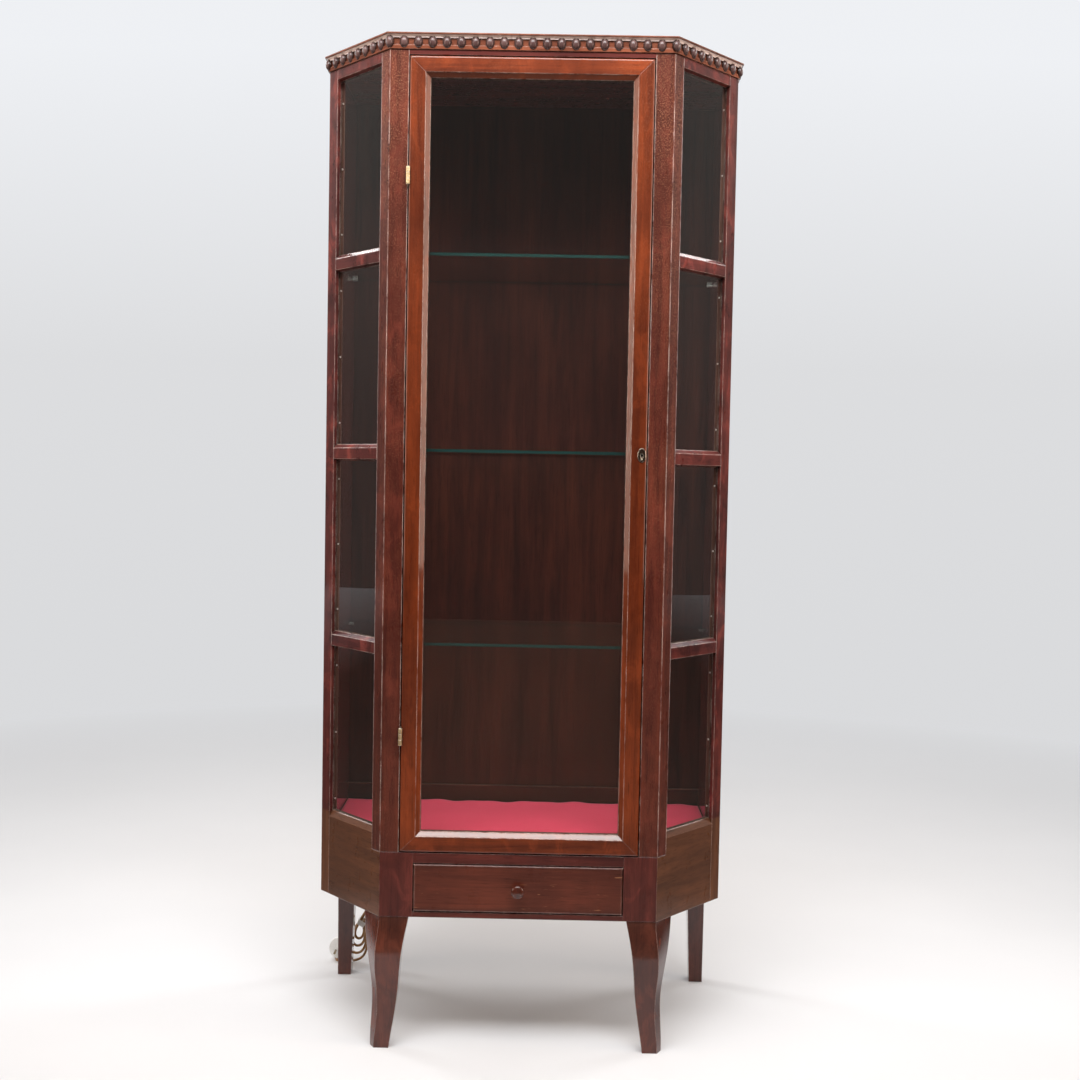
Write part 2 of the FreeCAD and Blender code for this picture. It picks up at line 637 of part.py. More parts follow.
def build_door():
    height = DOOR_TOP - DOOR_BOTTOM
    stile = door_member(height)
    stile.translate(at(-DOOR_HALF_WIDTH, -DOOR_PROUD, DOOR_BOTTOM))
    save("door_stile_left", stile)
    lock_stile = mirrored(stile).cut(lock_box()).cut(key_opening(-DOOR_PROUD, DOOR_BACK - LOCK_CASE_DEPTH))
    save("door_stile_right", lock_stile)
    rail = door_member(2 * DOOR_HALF_WIDTH)
    rail.rotate(at(0, 0, 0), at(0, 1, 0), -90)
    rail.translate(at(DOOR_HALF_WIDTH, -DOOR_PROUD, DOOR_BOTTOM))
    save("door_rail_bottom", rail)
    middle = at(0, 0, (DOOR_BOTTOM + DOOR_TOP) / 2)
    save("door_rail_top", rail.mirror(middle, at(0, 0, 1)))
    lap = DOOR_FRAME - DOOR_REBATE
    half = DOOR_HALF_WIDTH - lap
    low = DOOR_BOTTOM + lap
    high = DOOR_TOP - lap
    near = DOOR_PANE_INSET - DOOR_PROUD
    far = near + PANE_THICK
    save("door_glass", block(-half + PANE_PLAY, half - PANE_PLAY, near, far, low + PANE_PLAY, high - PANE_PLAY))
    sight = half - DOOR_REBATE
    bead_end = far + BEAD_DEPTH
    upright = block(sight, half, far, bead_end, low, high)
    foot = block(-sight, sight, far, bead_end, low, low + DOOR_REBATE)
    head = block(-sight, sight, far, bead_end, high - DOOR_REBATE, high)
    save("door_beads", group([upright, mirrored(upright), foot, head]))
    bolt_start = DOOR_HALF_WIDTH - BOLT_LENGTH
    save("lock_case", lock_box().cut(bolt_bar(bolt_start - BOLT_PLAY, DOOR_HALF_WIDTH, BOLT_PLAY)))
    save("lock_bolt", bolt_bar(bolt_start, DOOR_HALF_WIDTH, 0))
    save("keyhole_plate", keyhole_plate())
    strike_low = LOCK_LEVEL - STRIKE_HEIGHT / 2
    strike_y = DOOR_BACK - LOCK_CASE_DEPTH / 2
    strike = block(OPENING_HALF_WIDTH - STRIKE_THICK, OPENING_HALF_WIDTH, strike_y - STRIKE_DEPTH / 2,
                   strike_y + STRIKE_DEPTH / 2, strike_low, strike_low + STRIKE_HEIGHT)
    save("strike_plate", strike.cut(bolt_mortise()))


# Third of a hinge barrel, bored for the pin or solid with it
def knuckle(low, high, bore):
    barrel = rod(at(HINGE_AXIS_X, HINGE_AXIS_Y, low), at(HINGE_AXIS_X, HINGE_AXIS_Y, high), KNUCKLE_RADIUS)
    if bore:
        hole = HINGE_PIN_RADIUS + KNUCKLE_GAP
        barrel = barrel.cut(rod(at(HINGE_AXIS_X, HINGE_AXIS_Y, low), at(HINGE_AXIS_X, HINGE_AXIS_Y, high), hole))
    return barrel


# Post leaf with two outer knuckles, and door leaf with the middle knuckle and the pin
def hinge(middle):
    low = middle - HINGE_HEIGHT / 2
    high = middle + HINGE_HEIGHT / 2
    third = HINGE_HEIGHT / 3
    post_face = -OPENING_HALF_WIDTH
    door_face = -DOOR_HALF_WIDTH
    post_leaf = block(post_face, post_face + HINGE_LEAF_THICK, HINGE_AXIS_Y + HINGE_PIN_RADIUS + KNUCKLE_GAP,
                      HINGE_LEAF_DEPTH, low, high)
    clear = KNUCKLE_RADIUS + KNUCKLE_GAP
    middle_gap = rod(at(HINGE_AXIS_X, HINGE_AXIS_Y, low + third - KNUCKLE_GAP),
                     at(HINGE_AXIS_X, HINGE_AXIS_Y, high - third + KNUCKLE_GAP), clear)
    outer_gaps = [rod(at(HINGE_AXIS_X, HINGE_AXIS_Y, low), at(HINGE_AXIS_X, HINGE_AXIS_Y, low + third), clear),
                  rod(at(HINGE_AXIS_X, HINGE_AXIS_Y, high - third), at(HINGE_AXIS_X, HINGE_AXIS_Y, high), clear)]
    post = fused([post_leaf.cut(middle_gap), knuckle(low, low + third - KNUCKLE_GAP, True),
                  knuckle(high - third + KNUCKLE_GAP, high, True)])
    door_leaf = block(door_face - HINGE_LEAF_THICK, door_face, HINGE_AXIS_Y, HINGE_LEAF_DEPTH, low, high)
    for gap in outer_gaps:
        door_leaf = door_leaf.cut(gap)
    pin = rod(at(HINGE_AXIS_X, HINGE_AXIS_Y, low), at(HINGE_AXIS_X, HINGE_AXIS_Y, high), HINGE_PIN_RADIUS)
    door = fused([door_leaf, knuckle(low + third, high - third, False), pin])
    return post, door


def build_hinges():
    pairs = [hinge(level) for level in HINGE_LEVELS]
    save("hinge_post_leaves", group([post for post, door in pairs]))
    save("hinge_door_leaves", group([door for post, door in pairs]))


# Drawer front with eased face edges
def drawer_front():
    front = block(-DRAWER_HALF_WIDTH, DRAWER_HALF_WIDTH, -DRAWER_PROUD, DRAWER_FRONT_THICK - DRAWER_PROUD,
                  DRAWER_BOTTOM, DRAWER_TOP)
    edges = []
    for edge in front.Edges:
        if abs(edge.BoundBox.YMax + DRAWER_PROUD) < SLIP:
            edges.append(edge)
    return front.makeFillet(DRAWER_EDGE_ROUND, edges)


# Turned knob on a short stem
def drawer_knob():
    face = -DRAWER_PROUD
    neck = face - KNOB_STEM_LENGTH
    rim = neck - KNOB_HEAD_LENGTH + KNOB_DOME
    crown = neck - KNOB_HEAD_LENGTH
    level = (DRAWER_BOTTOM + DRAWER_TOP) / 2
    half_way = math.sqrt(0.5)
    swell = (neck - rim) / 2
    line = Part.LineSegment
    edges = [line(at(0, face, level), at(KNOB_STEM_RADIUS, face, level)),
             line(at(KNOB_STEM_RADIUS, face, level), at(KNOB_STEM_RADIUS, neck, level)),
             Part.Arc(at(KNOB_STEM_RADIUS, neck, level), at(KNOB_RADIUS, neck - swell, level),
                      at(KNOB_RADIUS * half_way, rim - KNOB_DOME * (1 - half_way), level)),
             line(at(KNOB_RADIUS * half_way, rim - KNOB_DOME * (1 - half_way), level), at(0, crown, level)),
             line(at(0, crown, level), at(0, face, level))]
    section = Part.Face(Part.Wire([edge.toShape() for edge in edges]))
    return section.revolve(at(0, 0, level), at(0, 1, 0), 360)


def build_drawer():
    save("drawer_front", drawer_front())
    save("drawer_knob", drawer_knob())
    start = DRAWER_FRONT_THICK - DRAWER_PROUD
    end = BACK_FACE - DRAWER_BACK_GAP
    outer = DRAWER_HALF_WIDTH - DRAWER_SIDE_INSET
    inner = outer - DRAWER_SIDE_THICK
    low = DRAWER_BOTTOM + 2 * RUNNER_GAP
    high = DRAWER_TOP - DRAWER_SIDE_DROP
    save("drawer_sides", both_sides([block(inner, outer, start, end, low, high)]))
    floor_low = low + DRAWER_BOTTOM_RISE
    floor_high = floor_low + DRAWER_BOTTOM_THICK
    save("drawer_back", block(-inner, inner, end - DRAWER_SIDE_THICK, end, floor_high, high))
    save("drawer_bottom", block(-inner, inner, start, end, floor_low, floor_high))


# Right front leg: a smooth loft through five-sided stations, knee over ankle over foot
def front_leg():
    sections = []
    stations = zip(LEG_LEVEL_SHARES, LEG_FLARE_SHARES, LEG_SETBACK_SHARES, LEG_FRONT_SHARES,
                   LEG_CANT_OUT_SHARES, LEG_CANT_BACK_SHARES, LEG_THICK_SHARES)
    for level, flare, setback, width, cant_out, cant_back, thickness in stations:
        z = level * LEG_HEIGHT
        back = setback * LEG_SETBACK
        thick = thickness * LEG_THICK
        arris_x = FRONT_HALF_WIDTH + flare * LEG_FLARE
        inner_x = arris_x - width * LEG_FRONT_WIDTH
        side_x = arris_x + cant_out * LEG_CANT_OUT
        side_y = back + cant_back * LEG_CANT_BACK
        corners = [at(arris_x, back, z), at(side_x, side_y, z),
                   at(side_x - thick * CANT_Y, side_y + thick * CANT_X, z),
                   at(inner_x, back + thick, z), at(inner_x, back, z)]
        sections.append(Part.makePolygon(corners + corners[:1]))
    return Part.makeLoft(sections, True, False)


# Right rear leg: square, tapered on its two inner faces
def rear_leg():
    outer_x = BODY_HALF_WIDTH - REAR_LEG_SIDE_INSET
    outer_y = BODY_DEPTH - REAR_LEG_BACK_INSET
    sections = []
    for z, width in ((0, REAR_LEG_FOOT), (LEG_HEIGHT, REAR_LEG_TOP)):
        corners = [at(outer_x, outer_y, z), at(outer_x - width, outer_y, z),
                   at(outer_x - width, outer_y - width, z), at(outer_x, outer_y - width, z)]
        sections.append(Part.makePolygon(corners + corners[:1]))
    return Part.makeLoft(sections, True, True)


def build_legs():
    save_pair("front_leg", front_leg())
    save_pair("rear_leg", rear_leg())


# Holder with a strip and two end sockets, and the tube lamp between them
def build_lamp():
    strip_low = BODY_TOP - LAMP_BASE_THICK
    near = LAMP_Y - LAMP_BASE_WIDTH / 2
    far = LAMP_Y + LAMP_BASE_WIDTH / 2
    tube_level = strip_low - LAMP_END_DROP / 2
    socket_x = LAMP_HALF_LENGTH - LAMP_END_LENGTH
    strip = block(-LAMP_HALF_LENGTH, LAMP_HALF_LENGTH, near, far, strip_low, BODY_TOP)
    socket = block(socket_x, LAMP_HALF_LENGTH, near, far, strip_low - LAMP_END_DROP, strip_low)
    save("lamp_holder", fused([strip, socket, mirrored(socket)]))
    cap_x = socket_x - LAMP_CAP_LENGTH
    glass = rod(at(-cap_x, LAMP_Y, tube_level), at(cap_x, LAMP_Y, tube_level), LAMP_TUBE_RADIUS)
    caps = rod(at(-socket_x, LAMP_Y, tube_level), at(socket_x, LAMP_Y, tube_level), LAMP_CAP_RADIUS)
    save("lamp_tube", fused([glass, caps]))


# Wire of straight runs joined by tangent arcs of the given radii
def rounded_route(points, radii):
    edges = []
    last = points[0]
    for number in range(1, len(points) - 1):
        corner = points[number]
        before = points[number - 1].sub(corner).normalize()
        after = points[number + 1].sub(corner).normalize()
        half_turn = (math.pi - before.getAngle(after)) / 2
        radius = radii[number - 1]
        reach = radius * math.tan(half_turn)
        start = corner.add(FreeCAD.Vector(before).multiply(reach))
        end = corner.add(FreeCAD.Vector(after).multiply(reach))
        inward = before.add(after).normalize()
        middle = corner.add(inward.multiply(radius / math.cos(half_turn) - radius))
        edges.append(Part.LineSegment(last, start).toShape())
        edges.append(Part.Arc(start, middle, end).toShape())
        last = end
    edges.append(Part.LineSegment(last, points[-1]).toShape())
    return Part.Wire(edges)


# Round tube along a wire
def tube(route, radius):
    start = route.Edges[0].firstVertex().Point
    way = route.Edges[0].tangentAt(route.Edges[0].FirstParameter)
    ring = Part.Wire(Part.makeCircle(radius, start, way))
    solid = route.makePipeShell([ring], True, False)
    print("volume over section times length", round(solid.Volume / (math.pi * radius ** 2 * route.Length), 4))
    return solid


# Radii as large as the two runs beside each point allow
def free_radii(points):
    radii = []
    for number in range(1, len(points) - 1):
        before = points[number - 1].sub(points[number])
        after = points[number + 1].sub(points[number])
        half_turn = (math.pi - before.getAngle(after)) / 2
        radii.append(FREE_ARC_SHARE * min(before.Length, after.Length) / math.tan(half_turn))
    print("flex arc radii", [round(radius, 1) for radius in radii])
    return radii


# Held lead: along the ceiling, out through the back and down to the last clip
def lead_route():
    points = [at(-LAMP_HALF_LENGTH, LAMP_Y, LEAD_LEVEL), at(LEAD_X, LAMP_Y, LEAD_LEVEL),
              at(LEAD_X, LEAD_BACK_Y, LEAD_LEVEL), at(LEAD_X, LEAD_BACK_Y, LEAD_END_LEVEL)]
    return rounded_route(points, [LEAD_TURN, LEAD_BACK_TURN])


# Upright slot in the back for the lead's bend
def lead_hole():
    half = FLEX_RADIUS + LEAD_HOLE_PLAY
    low = LEAD_LEVEL - LEAD_BACK_TURN
    high = LEAD_LEVEL + LEAD_HOLE_PLAY
    slot = block(LEAD_X - half, LEAD_X + half, BACK_FACE, BACK_FACE + BACK_THICK, low, high)
    ends = [rod(at(LEAD_X, BACK_FACE, z), at(LEAD_X, BACK_FACE + BACK_THICK, z), half) for z in (low, high)]
    return fused([slot] + ends)


# Clip block round the lead, against the ceiling or against the back
def lead_clips():
    half = FLEX_RADIUS + CLIP_WALL
    clips = []
    bore = FLEX_RADIUS + CLIP_PLAY
    for share in CLIP_CEILING_SHARES:
        y = LAMP_Y + LEAD_TURN + share * (BACK_FACE - LAMP_Y - 2 * LEAD_TURN)
        body = block(LEAD_X - half, LEAD_X + half, y, y + CLIP_LENGTH, LEAD_LEVEL - half, BODY_TOP)
        clips.append(body.cut(rod(at(LEAD_X, y, LEAD_LEVEL), at(LEAD_X, y + CLIP_LENGTH, LEAD_LEVEL), bore)))
    top = LEAD_LEVEL - CLIP_BACK_TOP_DROP
    step = (top - LEAD_END_LEVEL) / (CLIP_BACK_COUNT - 1)
    wall = BACK_FACE + BACK_THICK
    for number in range(CLIP_BACK_COUNT):
        z = LEAD_END_LEVEL + number * step
        body = block(LEAD_X - half, LEAD_X + half, wall, LEAD_BACK_Y + half, z, z + CLIP_LENGTH)
        clips.append(body.cut(rod(at(LEAD_X, LEAD_BACK_Y, z), at(LEAD_X, LEAD_BACK_Y, z + CLIP_LENGTH), bore)))
    return clips


# Arc that leaves a point along a direction and ends at another point
def leaving_arc(start, way, end):
    chord = end.sub(start)
    along = chord.dot(way)
    aside = chord.sub(FreeCAD.Vector(way).multiply(along))
    if aside.Length < TINY:
        return Part.LineSegment(start, end).toShape()
    radius = chord.dot(chord) / (2 * aside.Length)
    centre = start.add(FreeCAD.Vector(aside).normalize().multiply(radius))
    spoke = start.sub(centre).add(end.sub(centre)).normalize()
    return Part.Arc(start, centre.add(spoke.multiply(radius)), end).toShape()


# Two arcs that join two points and keep the direction at both
def biarc(start, start_way, end, end_way):
    way = end.sub(start)
    both = start_way.add(end_way)
    spread = 2 * (1 - start_way.dot(end_way))
    lean = way.dot(both)
    if spread < TINY:
        reach = way.dot(way) / (4 * way.dot(end_way))
    else:
        reach = (math.sqrt(lean ** 2 + spread * way.dot(way)) - lean) / spread
    joint = start.add(end).add(start_way.sub(end_way).multiply(reach)).multiply(0.5)
    second = leaving_arc(end, FreeCAD.Vector(end_way).multiply(-1), joint)
    return [leaving_arc(start, start_way, joint), second]


# Direction tilted from straight up to the right
def tilted(degrees):
    return at(math.sin(math.radians(degrees)), 0, math.cos(math.radians(degrees)))


# Point that lies a distance along a direction
def moved(point, way, distance):
    return point.add(FreeCAD.Vector(way).multiply(distance))


# Stations of the hank: waist, loop bottom, waist, eye, and again, one step back for each loop
def hank_stations():
    up = tilted(HANK_WAIST_TILT)
    down = tilted(HANK_WAIST_TILT + 180)
    right = tilted(HANK_WAIST_TILT + 90)
    waists = [at(HANK_X, HANK_FIRST_Y + turn * HANK_STEP, HANK_WAIST_LEVEL) for turn in range(HANK_TURNS)]
    growth = (HANK_LONG_LOOP - HANK_SHORT_LOOP) / (HANK_TURNS - 1)
    start = moved(waists[0], right, HANK_WAIST_HALF)
    stations = [(moved(start, up, HANK_LEAD), down), (start, down)]
    for turn, waist in enumerate(waists):
        if turn > 0:
            stations.append((moved(waist, right, -HANK_WAIST_HALF), up))
            stations.append((moved(waist, tilted(HANK_EYE_TILT), HANK_EYE), tilted(HANK_EYE_TILT + 90)))
            stations.append((moved(waist, right, HANK_WAIST_HALF), down))
        loop = HANK_SHORT_LOOP + turn * growth
        stations.append((moved(waist, tilted(HANK_HANG_TILT), -loop), at(-1, 0, 0)))
    end, way = stations[-1]
    stations.append((moved(end, way, 2 * FLEX_RADIUS), way))
    return stations


def hank_route(stations):
    edges = []
    for (start, start_way), (end, end_way) in zip(stations[:-1], stations[1:]):
        edges.extend(biarc(start, start_way, end, end_way))
    radii = [edge.Curve.Radius for edge in edges if hasattr(edge.Curve, "Radius")]
    print("hank least arc radius", round(min(radii), 1))
    return Part.Wire(Part.__sortEdges__(edges))


# Least gap between stretches of the hank more than a turn of the flex's own width apart
def least_gap(route):
    count = int(route.Length / FLEX_RADIUS)
    points = route.discretize(Number=count)
    apart = int(4 * math.pi)
    gap = route.Length
    for first in range(count):
        for second in range(first + apart, count):
            gap = min(gap, points[first].distanceToPoint(points[second]))
    return gap - 2 * FLEX_RADIUS


# Strap round the waist of the hank
def cord_tie():
    inner_x = HANK_WAIST_HALF + FLEX_RADIUS + TIE_PLAY
    inner_low = HANK_FIRST_Y - FLEX_RADIUS - TIE_PLAY
    inner_high = HANK_FIRST_Y + (HANK_TURNS - 1) * HANK_STEP + FLEX_RADIUS + TIE_PLAY
    low = -TIE_HEIGHT / 2
    high = TIE_HEIGHT / 2
    outer = block(-inner_x - TIE_THICK, inner_x + TIE_THICK, inner_low - TIE_THICK, inner_high + TIE_THICK,
                  low, high)
    strap = outer.cut(block(-inner_x, inner_x, inner_low, inner_high, low, high))
    strap.rotate(at(0, 0, 0), at(0, 1, 0), HANK_WAIST_TILT)
    strap.translate(at(HANK_X, 0, HANK_WAIST_LEVEL))
    return strap


# Round plug: rim, cone and neck turned about the pin direction, with two pins
def plug():
    face = PLUG_FACE_Y
    rim = face + PLUG_RIM_LENGTH
    cone = rim + PLUG_CONE_LENGTH
    neck = cone + PLUG_NECK_LENGTH
    corners = [at(0, face, 0), at(PLUG_RADIUS, face, 0), at(PLUG_RADIUS, rim, 0),
               at(PLUG_NECK_RADIUS, cone, 0), at(PLUG_NECK_RADIUS, neck, 0), at(0, neck, 0)]
    body = polygon(corners).revolve(at(0, 0, 0), at(0, 1, 0), 360)
    solids = [body]
    for side in (-1, 1):
        x = side * PLUG_PIN_OFFSET * math.cos(math.radians(PLUG_PIN_TURN))
        z = side * PLUG_PIN_OFFSET * math.sin(math.radians(PLUG_PIN_TURN))
        solids.append(rod(at(x, face - PLUG_PIN_LENGTH, z), at(x, face, z), PLUG_PIN_RADIUS))
    whole = fused(solids)
    whole.translate(at(PLUG_X, 0, PLUG_LEVEL))
    return whole


def build_flex():
    lead = lead_route()
    save("lamp_lead", tube(lead, FLEX_RADIUS))
    save("lead_clips", group(lead_clips()))
    stations = hank_stations()
    hank = hank_route(stations)
    save("cord_hank", tube(hank, FLEX_RADIUS))
    print("hank least gap", round(least_gap(hank), 2))
    first, first_way = stations[0]
    last, last_way = stations[-1]
    lead_end = at(LEAD_X, LEAD_BACK_Y, LEAD_END_LEVEL)
    drop_points = [lead_end, moved(lead_end, at(0, 0, -1), FREE_LEAD)] + [at(*spot) for spot in DROP_ROUTE]
    drop_points += [moved(first, first_way, -FREE_LEAD), first]
    drop = rounded_route(drop_points, free_radii(drop_points))
    save("cord_drop", tube(drop, FLEX_RADIUS))
    neck_end = PLUG_FACE_Y + PLUG_RIM_LENGTH + PLUG_CONE_LENGTH + PLUG_NECK_LENGTH
    tail_points = [last, moved(last, last_way, FREE_LEAD)] + [at(*spot) for spot in TAIL_ROUTE]
    tail_points += [at(PLUG_X, neck_end, PLUG_LEVEL)]
    tail = rounded_route(tail_points, free_radii(tail_points))
    save("cord_tail", tube(tail, FLEX_RADIUS))
    print("flex lengths: held, drop, hank, tail",
          [round(route.Length) for route in (lead, drop, hank, tail)])
    save("cord_tie", cord_tie())
    save("plug", plug())


os.makedirs("parts", exist_ok=True)
build_top()
build_carcass()
build_base()
build_cants()
build_shelves()
build_door()
build_hinges()
build_drawer()
build_legs()
build_lamp()
build_flex()
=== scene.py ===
import bpy
import math
from mathutils import Matrix, Vector


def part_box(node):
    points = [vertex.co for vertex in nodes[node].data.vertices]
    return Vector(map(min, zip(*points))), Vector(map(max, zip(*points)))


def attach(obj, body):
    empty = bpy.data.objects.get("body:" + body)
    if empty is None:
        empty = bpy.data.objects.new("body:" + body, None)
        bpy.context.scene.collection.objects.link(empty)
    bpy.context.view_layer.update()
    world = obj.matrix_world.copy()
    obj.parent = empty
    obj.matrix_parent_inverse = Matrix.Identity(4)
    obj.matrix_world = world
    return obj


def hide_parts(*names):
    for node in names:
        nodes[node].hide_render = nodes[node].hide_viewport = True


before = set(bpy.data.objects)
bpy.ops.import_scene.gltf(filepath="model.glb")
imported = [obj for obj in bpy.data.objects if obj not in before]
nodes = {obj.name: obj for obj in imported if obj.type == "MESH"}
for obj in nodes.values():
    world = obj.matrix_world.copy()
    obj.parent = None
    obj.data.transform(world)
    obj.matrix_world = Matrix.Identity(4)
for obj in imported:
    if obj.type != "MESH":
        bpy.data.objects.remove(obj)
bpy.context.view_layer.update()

MM = 0.001


def rgb(red, green, blue):
    return (red, green, blue, 1.0)


# Camera, as fitted to the cabinet's edges in the photograph
CAMERA_PLACE = (44.2 * MM, -2481.1 * MM, 971.7 * MM)
CAMERA_YAW = 0.0078
CAMERA_PITCH = -0.0481
CAMERA_ROLL = -0.0187
CAMERA_REACH = 50.0
IMAGE_PIXELS = 1080.0
FOCAL_PIXELS = 1400.0
SENSOR_WIDTH = 36.0

# Plan of the cabinet that the added pieces follow
CENTRE_Y = 173.0 * MM
FRONT_HALF_WIDTH = 232.0 * MM
BODY_HALF_WIDTH = 352.0 * MM
CANT_DEPTH = 141.0 * MM
BODY_DEPTH = 368.0 * MM
CANT_LENGTH = math.hypot(BODY_HALF_WIDTH - FRONT_HALF_WIDTH, CANT_DEPTH)
CANT_X = (BODY_HALF_WIDTH - FRONT_HALF_WIDTH) / CANT_LENGTH
CANT_Y = CANT_DEPTH / CANT_LENGTH

# Carved beads along the cornice; a ring is a share of the width and a share of the rise
FIELD_REACH = 1.0 * MM
BEAD_DROP = 13.5 * MM
BEAD_HALF_WIDTH = 7.2 * MM
BEAD_HALF_HEIGHT = 10.0 * MM
BEAD_RISE = 6.6 * MM
BEAD_FRONT_COUNT = 20
BEAD_CANT_COUNT = 8
BEAD_SIDE_COUNT = 10
BEAD_SIDES = 20
RIM_RING_SHARES = ((1.0, -0.1), (1.0, 0.3), (0.96, 0.4), (0.88, 0.42), (0.83, 0.34))
BEAD_RING_SHARES = ((0.83, 0.34), (0.79, 0.52), (0.7, 0.7), (0.54, 0.86), (0.34, 0.96), (0.14, 1.0))

# Pins that hold the glazing strips
PIN_RADIUS = 1.7 * MM
PIN_RISE = 0.9 * MM
PIN_SIDES = 10
FRONT_STILE = 24.0 * MM
REAR_STILE = 25.0 * MM
STRIP_INSET = 13.5 * MM
PIN_LEVEL_SHARES = (0.15, 0.5, 0.85)
PIN_RING_SHARES = ((1.0, 0.0), (0.85, 0.55), (0.5, 0.9), (0.0001, 1.0))

# Felt on the cabinet's floor; a wave is a share of the whole, its turn across the felt and its start
FELT_THICK = 1.7 * MM
FELT_FRONT_HALF = 230.0 * MM
FELT_CANT_END = 148.0 * MM
FELT_WAVE = 3.4 * MM
FELT_LIFT = 2.6 * MM
FELT_RIPPLE = 0.3 * MM
FELT_ROWS = 40
FELT_COLUMNS = 110
FELT_LOOSE_SHARE = 0.2
FELT_LIFT_SHARE = 0.5
FELT_LIFT_WAVE_SHARE = 0.25
FELT_WAVES = ((1.0, 23.0, 0.7), (0.6, 41.0, 2.0), (0.4, 9.0, 0.0))
FELT_WAVE_MOST = 2.0
RIPPLE_FIRST_TURNS = (11.0, 5.0)
RIPPLE_SECOND_TURNS = (3.0, 7.0)

# Flex: its thickness, and the route from the last clip to the plug in millimetres
FLEX_DIAMETER = 5.0 * MM
FLEX_ROUND_STEPS = 4
FLEX_LONG_STEPS = 6
FLEX_ORDER = 3
DROP_POINTS = ((-215.0, 363.5, 262.0), (-215.0, 363.5, 242.0), (-224.0, 366.0, 215.0), (-244.0, 374.0, 184.0),
               (-268.0, 382.0, 151.0), (-291.1, 386.0, 115.5), (-301.1, 386.0, 98.2))
TAIL_POINTS = ((-333.1, 404.0, 3.05), (-353.1, 404.0, 3.05), (-364.0, 413.0, 2.8), (-368.0, 432.0, 2.8),
               (-364.0, 452.0, 2.8), (-361.0, 471.0, 2.8), (-359.0, 478.0, 9.9), (-358.0, 478.0, 19.9),
               (-357.0, 471.0, 27.0), (-357.0, 444.0, 27.0))
HANK_TURNS = 4
HANK_WAIST = (-312.0, 386.0, 86.0)
HANK_STEP = 6.0
HANK_WAIST_HALF = 3.3
HANK_SHORT_LOOP = 32.0
HANK_LONG_LOOP = 84.5
HANK_HANG_TILT = 11.0
HANK_EYE = 40.0
HANK_EYE_TILT = 50.0
LOOP_WIDTH_SHARE = 0.3
LOOP_POINTS = 8

# Floor and the wall behind, with the wall's glow from its foot to its top, a painted gradient that is lighter
# upwards
STAGE_HALF_WIDTH = 9.0
STAGE_FRONT = -7.0
STAGE_STEPS = 16
WALL_Y = 4.4
WALL_BEND = 1.2
WALL_TOP = 6.0
WALL_FADE = 0.5
WALL_FAR = (1.2, 3.4)
WALL_GLOW_COLOURS = ((0.0, rgb(0.7, 0.705, 0.72)), (0.25, rgb(0.72, 0.725, 0.74)), (0.5, rgb(0.86, 0.875, 0.905)))
FLOOR_AHEAD = (-0.62, -0.74)
FLOOR_ASIDE = (0.6, 1.1)
FLOOR_COLOURS = (rgb(0.74, 0.745, 0.76), rgb(0.78, 0.785, 0.8))
FLOOR_AHEAD_COLOUR = rgb(0.34, 0.27, 0.22)
FLOOR_ASIDE_COLOUR = rgb(0.09, 0.08, 0.07)

# World: its strength from front to back and from level to up, and its colour
WORLD_BACK_TURNS = (-0.8, -0.2)
WORLD_BACK_STRENGTHS = (0.04, 0.14)
WORLD_UP_TURNS = (0.0, 0.5)
WORLD_UP_STRENGTHS = (0.0, 0.3)
WORLD_COLOUR = rgb(1.0, 0.92, 0.86)
SKY_CLIMB = 0.6
FIRST_BOUNCE = 0.5

# Lamps: place, aim, size, power, spread in degrees and colour, which is warm at the sides
PLAIN_LIGHT = (1.0, 1.0, 1.0)
WARM_LIGHT = (1.0, 0.82, 0.68)
LAMPS = {
    "key": ((-0.1, -1.15, 2.5), (0.0, -0.1, 1.45), (2.2, 0.7), 27.0, 110.0, PLAIN_LIGHT),
    "left": ((-2.6, -0.85, 1.5), (0.0, 0.0, 1.2), (1.8, 1.8), 6.6, 90.0, WARM_LIGHT),
    "right": ((2.6, -0.85, 1.5), (0.0, 0.0, 1.2), (1.8, 1.8), 8.4, 90.0, WARM_LIGHT),
    "strip_left": ((-2.5, -0.6, 1.7), (0.0, 0.0, 1.4), (0.12, 1.5), 1.6, 90.0, WARM_LIGHT),
    "strip_right": ((2.5, -0.6, 1.7), (0.0, 0.0, 1.4), (0.12, 1.5), 2.4, 90.0, WARM_LIGHT),
    "back": ((0.0, 3.0, 1.8), (0.0, 0.2, 0.3), (3.0, 1.6), 10.0, 150.0, PLAIN_LIGHT),
    "rim_left": ((-3.0, 1.8, 2.8), (0.0, 0.0, 1.0), (0.8, 1.6), 10.0, 100.0, PLAIN_LIGHT),
    "rim_right": ((3.0, 1.8, 2.8), (0.0, 0.0, 1.0), (0.8, 1.6), 10.0, 100.0, PLAIN_LIGHT),
    "top_front": ((0.0, -1.15, 4.2), (0.0, -0.9, 0.0), (4.0, 0.35), 27.0, 180.0, PLAIN_LIGHT),
    "top_back": ((0.0, 1.4, 4.2), (0.0, 1.4, 0.0), (4.4, 0.8), 20.0, 180.0, PLAIN_LIGHT),
}

